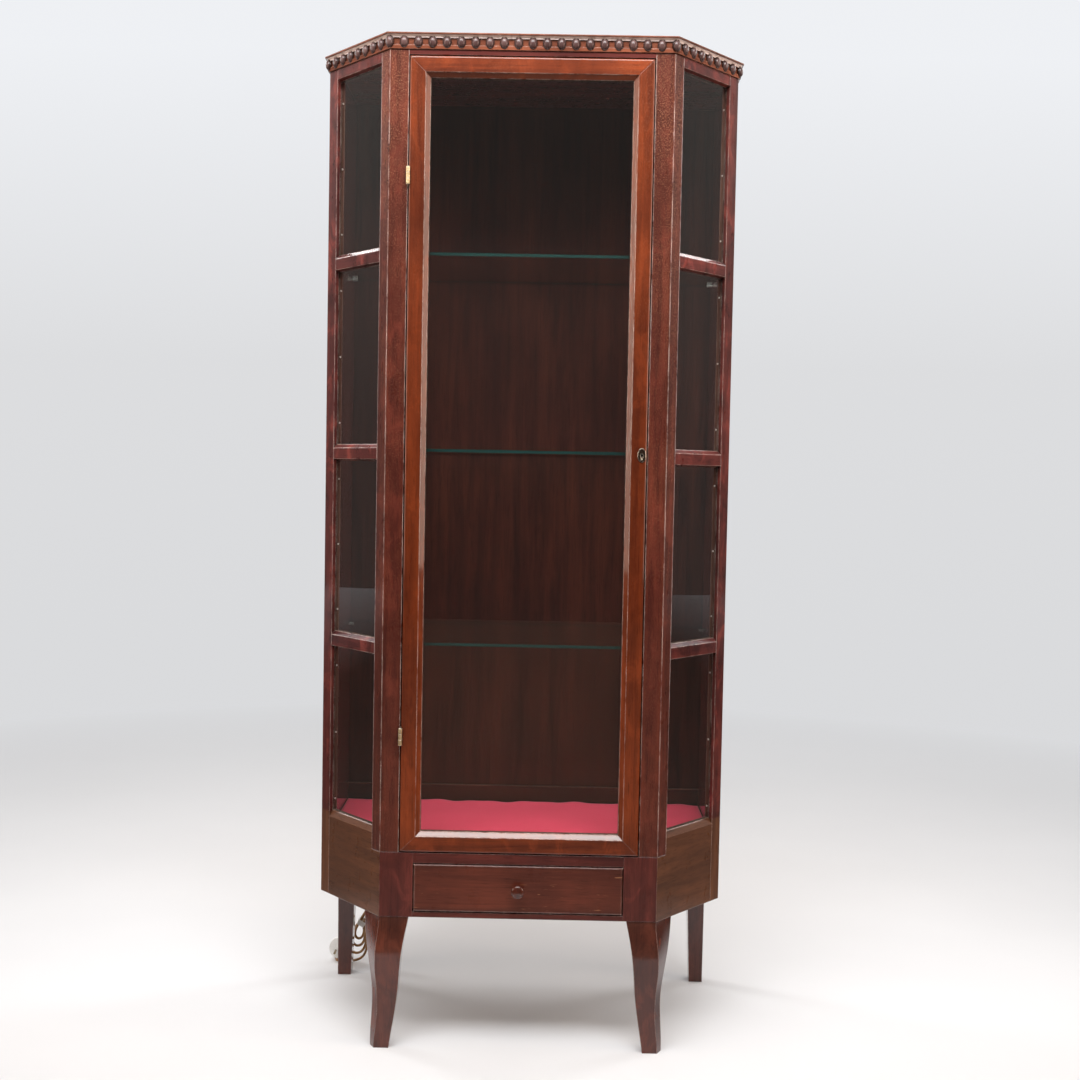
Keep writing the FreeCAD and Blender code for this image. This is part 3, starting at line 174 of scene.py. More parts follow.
# Noises: scale, detail, roughness and twist, after a stretch of their own where they don't follow the grain
EVEN = (1.0, 1.0, 1.0)
FIGURE_NOISE = (1.0, 7.0, 0.6, 0.8)
RIBBON_NOISE = (1.0, 3.0, 0.5, 0.5)
PORE_NOISE = (1.0, 2.0, 0.5)
BROAD_NOISE = ((2.6, 2.6, 1.5), 2.0, 4.0, 0.6)
RUB_NOISE = ((1.0, 1.0, 0.5), 60.0, 5.0, 0.7)
PATCH_NOISE = ((1.0, 1.0, 0.6), 26.0, 4.0, 0.62, 0.6)
SPECK_NOISE = ((1.0, 1.0, 0.75), 700.0, 2.0, 0.7)
SCUFF_NOISE = ((26.0, 90.0, 210.0), 1.0, 3.0, 0.65, 0.4)
METAL_NOISE = (EVEN, 240.0, 4.0, 0.6)
PLUG_NOISE = (EVEN, 120.0, 3.0, 0.5)
PLASTIC_NOISE = (EVEN, 90.0, 3.0, 0.5)
PLASTIC_GRAIN_NOISE = (EVEN, 900.0, 2.0, 0.5)
FIBRE_NOISE = (EVEN, 700.0, 5.0, 0.75, 1.5)
FELT_CLOUD_NOISE = (EVEN, 14.0, 3.0, 0.5)
FLOOR_NOISE = (EVEN, 1.3, 3.0, 0.5)

# Grain of the wood, stretched along one direction of the cabinet
GRAIN_UP = (70.0, 70.0, 4.0)
GRAIN_ACROSS = (4.0, 70.0, 70.0)
GRAIN_LEVEL = (7.0, 7.0, 70.0)
GRAIN_BACK = (70.0, 4.0, 70.0)
RIBBON_STRETCH_SHARE = 0.22
PORE_STRETCH_SHARE = 8.0

# Woods: the dark and the light of the figure, and the pale edge, which is wear and also a painted highlight
WOODS = {
    "body": (rgb(0.045, 0.009, 0.009), rgb(0.16, 0.032, 0.024), rgb(0.8, 0.62, 0.54)),
    "post": (rgb(0.043, 0.0095, 0.0075), rgb(0.148, 0.032, 0.019), rgb(0.8, 0.62, 0.54)),
    "drawer": (rgb(0.05, 0.011, 0.008), rgb(0.16, 0.036, 0.02), rgb(0.8, 0.56, 0.46)),
    "door": (rgb(0.078, 0.014, 0.005), rgb(0.225, 0.042, 0.011), rgb(0.75, 0.55, 0.46)),
    # Rail: the door's wood made lighter, painted light for the light falling on the door's rails
    "rail": (rgb(0.088, 0.016, 0.006), rgb(0.26, 0.048, 0.013), rgb(0.75, 0.55, 0.46)),
    "inner": (rgb(0.02, 0.006, 0.005), rgb(0.06, 0.015, 0.0095), rgb(0.3, 0.13, 0.09)),
    "raw": (rgb(0.26, 0.15, 0.07), rgb(0.44, 0.28, 0.15), rgb(0.55, 0.4, 0.25)),
    # Strip: darker brown, painted shade for the shaded recess beside the panes
    "strip": (rgb(0.05, 0.024, 0.018), rgb(0.13, 0.07, 0.052), rgb(0.6, 0.48, 0.4)),
    "leg": (rgb(0.045, 0.01, 0.006), rgb(0.125, 0.028, 0.015), rgb(0.6, 0.42, 0.36)),
    "carved": (rgb(0.06, 0.03, 0.028), rgb(0.14, 0.078, 0.072), rgb(0.42, 0.3, 0.25)),
    "rim": (rgb(0.016, 0.007, 0.006), rgb(0.045, 0.018, 0.014), rgb(0.12, 0.06, 0.05)),
    "cornice": (rgb(0.075, 0.02, 0.011), rgb(0.3, 0.09, 0.045), rgb(0.5, 0.26, 0.19)),
    "base": (rgb(0.065, 0.024, 0.012), rgb(0.15, 0.055, 0.024), rgb(0.5, 0.28, 0.2)),
}

# Figure, patches and pores: the levels between which each comes in, and its share
FIGURE_LEVELS = (0.36, 0.64)
FIGURE_SHARE = 0.6
RIBBON_SHARE = 0.4
BROAD_LEVELS = (0.38, 0.66)
BROAD_SHARE = 0.7
DEEP_SHARE = 0.3
RICH_SHARE = 1.6
RICH_LEVELS = (0.53, 0.66)
DEEP_LEVELS = (0.47, 0.34)
PORE_LEVELS = (0.56, 0.7)
PORE_SHARE = 0.4
PORE_DEPTH_SHARE = 0.8
FOOT_FADE = 4.0 * MM

# Specks and scuffs in the polish, the specks thicker higher up as painted light, and the painted highlight
# along the cornice's cove
SPECK_LEVELS = (0.52, 0.7)
SPECK_BROAD_LEVELS = (0.58, 0.42)
SPECK_AND_TOP_LIGHT_HEIGHTS = (700.0 * MM, 1500.0 * MM)
SPECK_LEAST_SHARE = 0.2
SPECK_COLOUR = rgb(0.62, 0.3, 0.16)
SCUFF_LEVELS = (0.65, 0.71)
SCUFF_BROAD_LEVELS = (0.5, 0.62)
SCUFF_COLOUR = rgb(0.5, 0.22, 0.1)
COVE_HIGHLIGHT_LOW_DROP = 7.5 * MM
COVE_HIGHLIGHT_HIGH_DROP = 2.5 * MM
COVE_HIGHLIGHT_FADE = 0.4 * MM
COVE_HIGHLIGHT_LEVELS = (0.3, 0.5)
COVE_HIGHLIGHT_SHARES = (0.45, 0.95)
COVE_HIGHLIGHT_COLOUR = rgb(0.95, 0.78, 0.74)

# Painted shade in the corners, pale edges of wear and painted highlight, and the gloss of the polish
CORNER_SHADE_REACH = 10.0 * MM
CORNER_SHADE_LEVELS = (0.35, 0.75)
EDGE_ROUND = 1.7 * MM
POST_ROUND = 2.6 * MM
DRAWER_ROUND = 2.4 * MM
EDGE_TURNS = (0.88, 0.992)
END_LEANS = (0.06, 0.3)
WEAR_AND_HIGHLIGHT_LEVELS = (0.38, 0.58)
WEAR_AND_HIGHLIGHT_SHARES = (0.06, 0.8)
GLOSS_LEVELS = (0.3, 0.7)
GLOSS_DROP = 0.06
GLOSS_RISE = 0.1
WORN_GLOSS_SHARE = 0.15
WOOD_RELIEF = 0.4 * MM

# Glass, metal, plastic and felt
FLAT_LEVELS = (0.4, 0.6)
METAL_TURNS = (0.85, 0.99)
METAL_LEVELS = (0.4, 0.65)
METAL_RUBBED_AND_HIGHLIGHT = rgb(0.86, 0.78, 0.66)
METAL_DULL_RISE = 0.2
METAL_RELIEF = 0.2 * MM
PLUG_PIN_LENGTH = 16.0 * MM
PLUG_PIN_FADE = 0.3 * MM
PLUG_SHADE_SHARE = 0.9
PLUG_ROUGHS = (0.28, 0.4)
PLUG_RELIEF = 0.2 * MM
PLASTIC_LEVELS = (0.4, 0.7)
PLASTIC_RELIEF = 0.1 * MM
FIBRE_LEVELS = (0.35, 0.65)
FIBRE_RELIEF = 0.6 * MM
FELT_CLOUD_LEVELS = (0.35, 0.7)
FELT_CLOUD_SHARE = 0.35
FLOOR_LEVELS = (0.3, 0.7)

# Rays for each rounded edge and each corner
EDGE_RAYS = 4

# Nodes of the cabinet in each material
PAINT = {
    "post": ("front_post_left", "front_post_right"),
    "stile": ("side_post_left", "side_post_right"),
    "panel": ("side_panel_left", "side_panel_right"),
    "base_up": ("base_stiles",),
    "base": ("base_cants",),
    "leg": ("front_leg_left", "front_leg_right", "rear_leg_left", "rear_leg_right", "drawer_knob"),
    "body_across": ("top_board", "header_rail", "base_rail_lower", "base_rail_upper"),
    "drawer": ("drawer_front",),
    "cornice_across": ("cornice_front",),
    "cornice_level": ("cornice_cants", "cornice_sides"),
    "body_level": ("cant_top_rails", "cant_muntins"),
    "door_up": ("door_stile_left", "door_stile_right"),
    "door_across": ("door_rail_bottom", "door_rail_top"),
    "inner_up": ("door_stops", "back_panel"),
    "inner_across": ("base_bottom", "floor_board", "back_strip"),
    "raw": ("drawer_runners", "drawer_sides", "drawer_back", "drawer_bottom"),
    "strip": ("pane_beads", "door_beads"),
    "pane": ("cant_panes", "door_glass"),
    "shelf": ("glass_shelf_lower", "glass_shelf_middle", "glass_shelf_upper"),
    "brass": ("hinge_post_leaves", "hinge_door_leaves", "strike_plate"),
    "dark_brass": ("keyhole_plate",),
    "steel": ("lock_bolt", "shelf_pins"),
    "iron": ("lock_case",),
    "white": ("lamp_holder", "lead_clips", "cord_tie"),
    "plug": ("plug",),
    "tube": ("lamp_tube",),
    "flex": ("lamp_lead", "cord_hank", "cord_drop", "cord_tail"),
    "felt": ("felt_mat",),
}


def scaled(sizes, share):
    return tuple(share * size for size in sizes)


# Colour made lighter or darker by a share
def shaded(colour, share):
    return rgb(*scaled(colour[:3], share))


# Node tree of a material or of the world, with short ways to add its nodes
class Graph:
    def __init__(self, tree):
        self.tree = tree
        self.tree.nodes.clear()

    def add(self, kind, values=None, **settings):
        node = self.tree.nodes.new(kind)
        for key, value in settings.items():
            setattr(node, key, value)
        for key, value in (values or {}).items():
            self.put(node.inputs[key], value)
        return node

    def put(self, socket, value):
        if isinstance(value, bpy.types.NodeSocket):
            self.tree.links.new(value, socket)
        else:
            socket.default_value = value

    def split(self, vector, axis):
        return self.add("ShaderNodeSeparateXYZ", {0: vector}).outputs[axis]

    # Place along one axis, in the piece itself or as the direction of the world
    def along(self, axis, kind="Object"):
        return self.split(self.add("ShaderNodeTexCoord").outputs[kind], axis)

    def span(self, value, low, high, start=0.0, end=1.0):
        values = {"Value": value, "From Min": low, "From Max": high, "To Min": start, "To Max": end}
        return self.add("ShaderNodeMapRange", values).outputs[0]

    def calc(self, kind, first, second=0.0):
        return self.add("ShaderNodeMath", {0: first, 1: second}, operation=kind).outputs[0]

    def mix(self, share, first, second):
        return self.add("ShaderNodeMix", {0: share, 6: first, 7: second}, data_type="RGBA").outputs[2]

    def ramp(self, value, stops):
        node = self.add("ShaderNodeValToRGB", {"Fac": value})
        elements = node.color_ramp.elements
        while len(elements) < len(stops):
            elements.new(stops[-1][0])
        for element, (position, colour) in zip(elements, stops):
            element.position = position
            element.color = colour
        return node.outputs[0]

    def blend(self, share, first, second):
        return self.add("ShaderNodeMixShader", {0: share, 1: first, 2: second}).outputs[0]


# Graph of one material, with its surface shader
class Surface(Graph):
    def __init__(self, name):
        self.material = bpy.data.materials.new(name)
        self.material.use_nodes = True
        super().__init__(self.material.node_tree)
        self.output = self.add("ShaderNodeOutputMaterial")
        self.shader = self.add("ShaderNodeBsdfPrincipled")
        self.show(self.shader.outputs[0])

    def show(self, look):
        self.put(self.output.inputs["Surface"], look)

    def shade(self, **values):
        for key, value in values.items():
            self.put(self.shader.inputs[key.replace("_", " ")], value)

    def noise(self, stretch, scale, detail, rough, twist=0.0):
        where = self.add("ShaderNodeTexCoord").outputs["Object"]
        place = self.add("ShaderNodeMapping", {"Vector": where, "Scale": stretch}).outputs[0]
        values = {"Vector": place, "Scale": scale, "Detail": detail, "Roughness": rough, "Distortion": twist}
        return self.add("ShaderNodeTexNoise", values).outputs["Fac"]

    # Normal that rounds the sharp edges over a small radius
    def soft(self, radius=EDGE_ROUND):
        return self.add("ShaderNodeBevel", {"Radius": radius}, samples=EDGE_RAYS).outputs[0]

    # Where the surface turns over an edge
    def edges(self, soft, low, high):
        hard = self.add("ShaderNodeNewGeometry").outputs["Normal"]
        turn = self.add("ShaderNodeVectorMath", {0: soft, 1: hard}, operation="DOT_PRODUCT")
        return self.span(turn.outputs["Value"], high, low)

    # How open the surface is to its surroundings, lower in the corners
    def openness(self, reach):
        return self.add("ShaderNodeAmbientOcclusion", {"Distance": reach}, samples=EDGE_RAYS).outputs["AO"]

    def bump(self, height, strength, distance, normal=None):
        values = {"Height": height, "Strength": strength, "Distance": distance}
        if normal is not None:
            values["Normal"] = normal
        relief = self.add("ShaderNodeBump", values).outputs[0]
        self.shade(Normal=relief, Coat_Normal=relief)


# Streaks of the figure, from fine grain and broader ribbons
def wood_streak(g, grain, figure):
    ribbon = g.noise(scaled(grain, RIBBON_STRETCH_SHARE), *RIBBON_NOISE)
    return g.calc("ADD", g.calc("MULTIPLY", figure, FIGURE_SHARE), g.calc("MULTIPLY", ribbon, RIBBON_SHARE))


# Rich and deep patches across the figure
def add_patches(g, colour, rich, deep, share):
    patch = g.noise(*PATCH_NOISE)
    colour = g.mix(g.span(patch, *RICH_LEVELS, 0.0, share), colour, rich)
    return g.mix(g.span(patch, *DEEP_LEVELS, 0.0, share), colour, deep)


# Foot in another wood, up to the top of the base boards
def add_foot(g, colour, streak, tone):
    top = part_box("base_cants")[1].z
    low = g.mix(g.span(streak, *FIGURE_LEVELS), *WOODS[tone][:2])
    return g.mix(g.span(g.along(2), top, top - FOOT_FADE), colour, low)


# Pale specks of worn polish; more of them higher up, a painted light that makes the upper part lighter
def add_specks_and_top_light(g, colour, broad, share):
    mask = g.span(g.noise(*SPECK_NOISE), *SPECK_LEVELS)
    mask = g.calc("MULTIPLY", mask, g.span(broad, *SPECK_BROAD_LEVELS, SPECK_LEAST_SHARE * share, share))
    # Painted light: the specks grow thicker up the height, lightening the upper part
    mask = g.calc("MULTIPLY", mask, g.span(g.along(2), *SPECK_AND_TOP_LIGHT_HEIGHTS, SPECK_LEAST_SHARE, 1.0))
    return g.mix(mask, colour, SPECK_COLOUR)


# Long scuffs across the polish
def add_scuffs(g, colour, broad, share):
    mask = g.span(g.noise(*SCUFF_NOISE), *SCUFF_LEVELS)
    mask = g.calc("MULTIPLY", mask, g.span(broad, *SCUFF_BROAD_LEVELS, 0.0, share))
    return g.mix(mask, colour, SCUFF_COLOUR)


# Where the edges are rubbed pale, which also paints a highlight along them, apart from those at the ends of
# the grain
def pale_edges_wear_and_highlight(g, soft, rub, wear_and_highlight, ends):
    rubbed = g.span(rub, *WEAR_AND_HIGHLIGHT_LEVELS, *scaled(WEAR_AND_HIGHLIGHT_SHARES, wear_and_highlight))
    edge = g.calc("MULTIPLY", g.edges(soft, *EDGE_TURNS), rubbed)
    if ends is None:
        return edge
    lean = g.calc("ABSOLUTE", g.split(soft, ends))
    return g.calc("MULTIPLY", edge, g.span(lean, *END_LEANS, 1.0, 0.0))


# Painted highlight: a pale line along the cove of the cornice, where lamps would glint
def add_cove_highlight(g, colour, rub):
    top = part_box("cornice_front")[1].z
    low = top - COVE_HIGHLIGHT_LOW_DROP
    high = top - COVE_HIGHLIGHT_HIGH_DROP
    height = g.along(2)
    inside = g.calc("MULTIPLY", g.span(height, low, low + COVE_HIGHLIGHT_FADE), g.span(height, high, high - COVE_HIGHLIGHT_FADE))
    return g.mix(g.calc("MULTIPLY", inside, g.span(rub, *COVE_HIGHLIGHT_LEVELS, *COVE_HIGHLIGHT_SHARES)), colour, COVE_HIGHLIGHT_COLOUR)


# Polished hardwood: figure, patches and pores, then specks, scuffs, painted shade in the corners, and pale
# edges of wear and painted highlight
def wood(name, tone, grain, rough=0.3, coat=1.0, wear_and_highlight=1.0, specks=0.0, scuffs=0.0, corner_shade=0.75,
         patches=0.0, foot=None, cove_highlight=False, ends=None, round_over=EDGE_ROUND):
    g = Surface(name)
    dark, light, worn_and_highlight = WOODS[tone]
    deep = shaded(dark, DEEP_SHARE)
    figure = g.noise(grain, *FIGURE_NOISE)
    broad = g.noise(*BROAD_NOISE)
    pores = g.span(g.noise(scaled(grain, PORE_STRETCH_SHARE), *PORE_NOISE), *PORE_LEVELS)
    rub = g.noise(*RUB_NOISE)
    streak = wood_streak(g, grain, figure)
    colour = g.mix(g.span(streak, *FIGURE_LEVELS), dark, light)
    colour = g.mix(g.span(broad, *BROAD_LEVELS, 0.0, BROAD_SHARE), colour, dark)
    if patches:
        colour = add_patches(g, colour, shaded(light, RICH_SHARE), deep, patches)
    if foot:
        colour = add_foot(g, colour, streak, foot)
    colour = g.mix(g.calc("MULTIPLY", pores, PORE_SHARE), colour, deep)
    if specks:
        colour = add_specks_and_top_light(g, colour, broad, specks)
    if scuffs:
        colour = add_scuffs(g, colour, broad, scuffs)
    # Painted shade: darker towards the deep tone where the surface is closed in, in corners and recesses
    colour = g.mix(g.span(g.openness(CORNER_SHADE_REACH), *CORNER_SHADE_LEVELS, corner_shade, 0.0), colour, deep)
    soft = g.soft(round_over)
    edge = pale_edges_wear_and_highlight(g, soft, rub, wear_and_highlight, ends)
    # Pale edges: worn polish, and also a painted highlight along the rounded edges
    colour = g.mix(edge, colour, worn_and_highlight)
    # Painted highlight along the cove
    if cove_highlight:
        colour = add_cove_highlight(g, colour, rub)
    gloss = g.span(rub, *GLOSS_LEVELS, rough - GLOSS_DROP, rough + GLOSS_RISE)
    gloss = g.calc("ADD", gloss, g.calc("MULTIPLY", edge, WORN_GLOSS_SHARE))
    g.shade(Base_Color=colour, Roughness=gloss, Specular_IOR_Level=0.05)
    g.shade(Coat_Weight=coat, Coat_Roughness=0.05)
    relief = g.calc("SUBTRACT", figure, g.calc("MULTIPLY", pores, PORE_DEPTH_SHARE))
    g.bump(relief, strength=0.06, distance=WOOD_RELIEF, normal=soft)
    return g.material


# Clear sheet glass that lets lamp light through; a shelf shows the colour of its thickness at its edges
def glass(name, tint, edge=None):
    g = Surface(name)
    g.shade(Base_Color=tint, Roughness=0.0, Specular_IOR_Level=0.35, IOR=1.48, Transmission_Weight=1.0)
    if edge:
        facing = g.add("ShaderNodeNewGeometry").outputs["True Normal"]
        flat = g.span(g.calc("ABSOLUTE", g.split(facing, 2)), *FLAT_LEVELS)
        g.shade(Base_Color=g.mix(flat, edge, tint), Transmission_Weight=flat)
    path = g.add("ShaderNodeLightPath").outputs
    clear = g.add("ShaderNodeBsdfTransparent", {"Color": tint}).outputs[0]
    g.show(g.blend(path["Is Shadow Ray"], g.shader.outputs[0], clear))
    return g.material


# Metal that is tarnished in clouds and bright on its edges, rubbed and also a painted highlight
def metal(name, colour, tarnish, rough):
    g = Surface(name)
    cloud = g.noise(*METAL_NOISE)
    soft = g.soft()
    edge = g.edges(soft, *METAL_TURNS)
    shade = g.mix(g.span(cloud, *METAL_LEVELS), colour, tarnish)
    # Bright edges: rubbed metal, and also a painted highlight on the rims
    g.shade(Base_Color=g.mix(edge, shade, METAL_RUBBED_AND_HIGHLIGHT), Metallic=1.0,
            Roughness=g.span(cloud, *GLOSS_LEVELS, rough, rough + METAL_DULL_RISE))
    g.bump(cloud, strength=0.08, distance=METAL_RELIEF, normal=soft)
    return g.material


# Plug: moulded body with metal pins in front of its face
def plug_plastic(name, colour, pin):
    g = Surface(name)
    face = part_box("plug")[0].y + PLUG_PIN_LENGTH
    pins = g.span(g.along(1), face, face - PLUG_PIN_FADE)
    cloud = g.noise(*PLUG_NOISE)
    body = g.mix(g.span(cloud, *PLASTIC_LEVELS), colour, shaded(colour, PLUG_SHADE_SHARE))
    gloss = g.span(cloud, *GLOSS_LEVELS, *PLUG_ROUGHS)
    g.shade(Base_Color=g.mix(pins, body, pin), Metallic=pins, Roughness=gloss)
    g.bump(cloud, strength=0.05, distance=PLUG_RELIEF, normal=g.soft())
    return g.material


def plastic(name, colour, shade, rough):
    g = Surface(name)
    cloud = g.noise(*PLASTIC_NOISE)
    g.shade(Base_Color=g.mix(g.span(cloud, *PLASTIC_LEVELS), colour, shade), Roughness=rough)
    g.bump(g.noise(*PLASTIC_GRAIN_NOISE), strength=0.05, distance=PLASTIC_RELIEF)
    return g.material


def felt(name, colour, shade):
    g = Surface(name)
    fibre = g.noise(*FIBRE_NOISE)
    cloud = g.noise(*FELT_CLOUD_NOISE)
    mixed = g.mix(g.span(fibre, *FIBRE_LEVELS), shade, colour)
    mixed = g.mix(g.span(cloud, *FELT_CLOUD_LEVELS, 0.0, FELT_CLOUD_SHARE), mixed, shade)
    g.shade(Base_Color=mixed, Roughness=0.95, Specular_IOR_Level=0.1, Sheen_Weight=0.08, Sheen_Roughness=0.5)
    g.bump(fibre, strength=0.35, distance=FIBRE_RELIEF)
    return g.material


def make_woods():
    return {
        "post": wood("post_wood_upright", "post", GRAIN_UP, wear_and_highlight=1.2, specks=0.5, patches=0.25, ends=2,
                     round_over=POST_ROUND),
        "stile": wood("stile_wood_upright", "body", GRAIN_UP, specks=0.08, patches=0.6, ends=2, foot="base"),
        "panel": wood("panel_wood_upright", "body", GRAIN_UP, specks=0.08, ends=2),
        "base_up": wood("base_wood_upright", "body", GRAIN_UP, wear_and_highlight=0.15, patches=0.3, ends=2),
        "base": wood("base_wood_level", "base", GRAIN_LEVEL, wear_and_highlight=0.6),
        "body_across": wood("body_wood_across", "body", GRAIN_ACROSS, wear_and_highlight=0.4, ends=0),
        "body_level": wood("body_wood_level", "body", GRAIN_LEVEL, patches=0.6),
        "drawer": wood("drawer_wood_across", "drawer", GRAIN_ACROSS, wear_and_highlight=1.3, scuffs=0.8, corner_shade=0.2,
                       round_over=DRAWER_ROUND),
        "leg": wood("leg_wood_upright", "leg", GRAIN_UP, rough=0.2, patches=0.3),
        "carved": wood("carved_wood", "carved", GRAIN_UP, coat=0.7, corner_shade=0.3),
        "rim": wood("carved_rim_wood", "rim", GRAIN_UP, coat=0.5, corner_shade=0.3),
        "cornice_across": wood("cornice_wood_across", "cornice", GRAIN_ACROSS, coat=0.5, cove_highlight=True),
        "cornice_level": wood("cornice_wood_level", "cornice", GRAIN_LEVEL, coat=0.5, cove_highlight=True),
        "door_up": wood("door_wood_upright", "door", GRAIN_UP, specks=0.1, patches=0.2, ends=2),
        # Door rails in the lighter copy of the door's wood: painted light
        "door_across": wood("door_wood_across_painted_light", "rail", GRAIN_ACROSS, specks=0.1, patches=0.2, ends=0),
        "inner_up": wood("inner_wood_upright", "inner", GRAIN_UP, rough=0.5, coat=0.1, wear_and_highlight=0.3),
        "inner_across": wood("inner_wood_across", "inner", GRAIN_ACROSS, rough=0.5, coat=0.1),
        "raw": wood("drawer_box_wood", "raw", GRAIN_BACK, rough=0.65, coat=0.0, wear_and_highlight=0.2),
        # Glazing strips darkened as painted shade of the recess they sit in
        "strip": wood("glazing_strip_wood_painted_shade", "strip", GRAIN_UP, rough=0.6, coat=0.0, wear_and_highlight=0.5),
    }


def make_other_materials():
    return {
        "pane": glass("pane_glass", rgb(0.97, 0.985, 0.98)),
        "shelf": glass("shelf_glass", rgb(0.93, 0.98, 0.96), edge=rgb(0.008, 0.028, 0.025)),
        "brass": metal("worn_brass", rgb(0.86, 0.7, 0.44), rgb(0.5, 0.36, 0.18), rough=0.34),
        "dark_brass": metal("dark_brass", rgb(0.16, 0.1, 0.07), rgb(0.05, 0.033, 0.026), rough=0.22),
        "steel": metal("dull_steel", rgb(0.6, 0.59, 0.57), rgb(0.38, 0.36, 0.34), rough=0.3),
        "iron": metal("dark_iron", rgb(0.1, 0.095, 0.09), rgb(0.04, 0.038, 0.036), rough=0.45),
        "white": plastic("white_plastic", rgb(0.82, 0.82, 0.79), rgb(0.74, 0.73, 0.69), rough=0.35),
        "plug": plug_plastic("plug_plastic", rgb(0.95, 0.95, 0.93), rgb(0.3, 0.24, 0.15)),
        "tube": plastic("frosted_tube", rgb(0.88, 0.88, 0.86), rgb(0.83, 0.83, 0.81), rough=0.25),
        "flex": plastic("brown_flex", rgb(0.34, 0.17, 0.05), rgb(0.2, 0.095, 0.03), rough=0.34),
        "felt": felt("red_felt", rgb(0.68, 0.055, 0.105), rgb(0.52, 0.035, 0.07)),
    }


def paint_nodes(materials):
    for name, painted in PAINT.items():
        for node in painted:
            for slot in nodes[node].material_slots:
                slot.material = materials[name]


def make_camera():
    camera = bpy.data.cameras.new("camera")
    camera.sensor_width = SENSOR_WIDTH
    camera.lens = FOCAL_PIXELS / IMAGE_PIXELS * SENSOR_WIDTH
    camera.clip_end = CAMERA_REACH
    holder = bpy.data.objects.new("camera", camera)
    bpy.context.collection.objects.link(holder)
    turn = Matrix.Rotation(CAMERA_YAW, 4, "Z") @ Matrix.Rotation(CAMERA_PITCH, 4, "X")
    turn = turn @ Matrix.Rotation(CAMERA_ROLL, 4, "Y") @ Matrix.Rotation(math.pi / 2.0, 4, "X")
    holder.matrix_world = Matrix.Translation(CAMERA_PLACE) @ turn
    bpy.context.scene.camera = holder


# Direction tilted from straight up to the right
def tilted(degrees):
    return Vector((math.sin(math.radians(degrees)), 0.0, math.cos(math.radians(degrees))))


# Points round one teardrop loop, out on one side of the waist and back on the other
def loop_points(waist, way, length, next_step):
    side = Vector((-way.z, 0.0, way.x))
    points = []
    for number in range(LOOP_POINTS + 1):
        share = number / LOOP_POINTS
        angle = 2.0 * math.pi * share
        reach_share = (1.0 - math.cos(angle)) / 2.0
        swell = LOOP_WIDTH_SHARE * length * math.sin(angle) * math.sqrt(reach_share)
        aside = swell + HANK_WAIST_HALF * math.cos(math.pi * share)
        back = next_step * max(0.0, 2.0 * share - 1.0)
        points.append(waist + way * (length * reach_share) + side * aside + Vector((0.0, back, 0.0)))
    return points


# Hank: a hanging loop for each turn, and an eye above the tie between two loops
def hank_points():
    points = []
    growth = (HANK_LONG_LOOP - HANK_SHORT_LOOP) / (HANK_TURNS - 1)
    for turn in range(HANK_TURNS):
        waist = Vector(HANK_WAIST) + Vector((0.0, turn * HANK_STEP, 0.0))
        length = HANK_SHORT_LOOP + turn * growth
        loop = loop_points(waist, -tilted(HANK_HANG_TILT), length, HANK_STEP)
        if turn == HANK_TURNS - 1:
            points.extend(loop[:LOOP_POINTS // 2])
        else:
            points.extend(loop)
            next_waist = waist + Vector((0.0, HANK_STEP, 0.0))
            eye = loop_points(next_waist, tilted(HANK_EYE_TILT), HANK_EYE, 0.0)
            points.extend(eye[1:-1])
    return points


# Place of a point of the flex's route
def flex_place(spot):
    return (spot.x * MM, spot.y * MM - CENTRE_Y, spot.z * MM)


def make_flex(materials):
    route = [Vector(point) for point in DROP_POINTS]
    route.extend(hank_points())
    route.extend(Vector(point) for point in TAIL_POINTS)
    curve = bpy.data.curves.new("flex", "CURVE")
    curve.dimensions = "3D"
    curve.bevel_depth = FLEX_DIAMETER / 2.0
    curve.bevel_resolution = FLEX_ROUND_STEPS
    curve.resolution_u = FLEX_LONG_STEPS
    spline = curve.splines.new("NURBS")
    spline.points.add(len(route) - 1)
    for point, spot in zip(spline.points, route):
        point.co = (*flex_place(spot), 1.0)
    spline.order_u = FLEX_ORDER
    spline.use_endpoint_u = True
    flex = bpy.data.objects.new("flex", curve)
    bpy.context.collection.objects.link(flex)
    curve.materials.append(materials["flex"])
    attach(flex, "cabinet")
    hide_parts("cord_drop", "cord_hank", "cord_tail")


# New piece from points and faces, riding on a body with a material and slot
def add_piece(name, points, faces, material, body):
    mesh = bpy.data.meshes.new(name)
    mesh.from_pydata(points, [], faces)
    mesh.validate()
    mesh.shade_smooth()
    mesh.materials.append(material)
    piece = bpy.data.objects.new(name, mesh)
    bpy.context.collection.objects.link(piece)
    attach(piece, body)
    return piece


# Oval boss from rings of shares: width along one direction, height along another, rise along a third
def boss(centre, across, up, out, rings, sides):
    points = []
    for share, rise in rings:
        for number in range(sides):
            angle = 2.0 * math.pi * number / sides
            point = centre + across * (share * math.cos(angle))
            points.append(point + up * (share * math.sin(angle)) + out * rise)
    faces = []
    for ring in range(len(rings) - 1):
        for number in range(sides):
            after = (number + 1) % sides
            low = ring * sides
            faces.append((low + number, low + after, low + sides + after, low + sides + number))
    faces.append(tuple(range((len(rings) - 1) * sides, len(rings) * sides)))
    return points, faces


# All bosses in one piece
def join_bosses(bosses):
    points = []
    faces = []
    for more_points, more_faces in bosses:
        start = len(points)
        points.extend(more_points)
        faces.extend(tuple(start + index for index in face) for face in more_faces)
    return points, faces


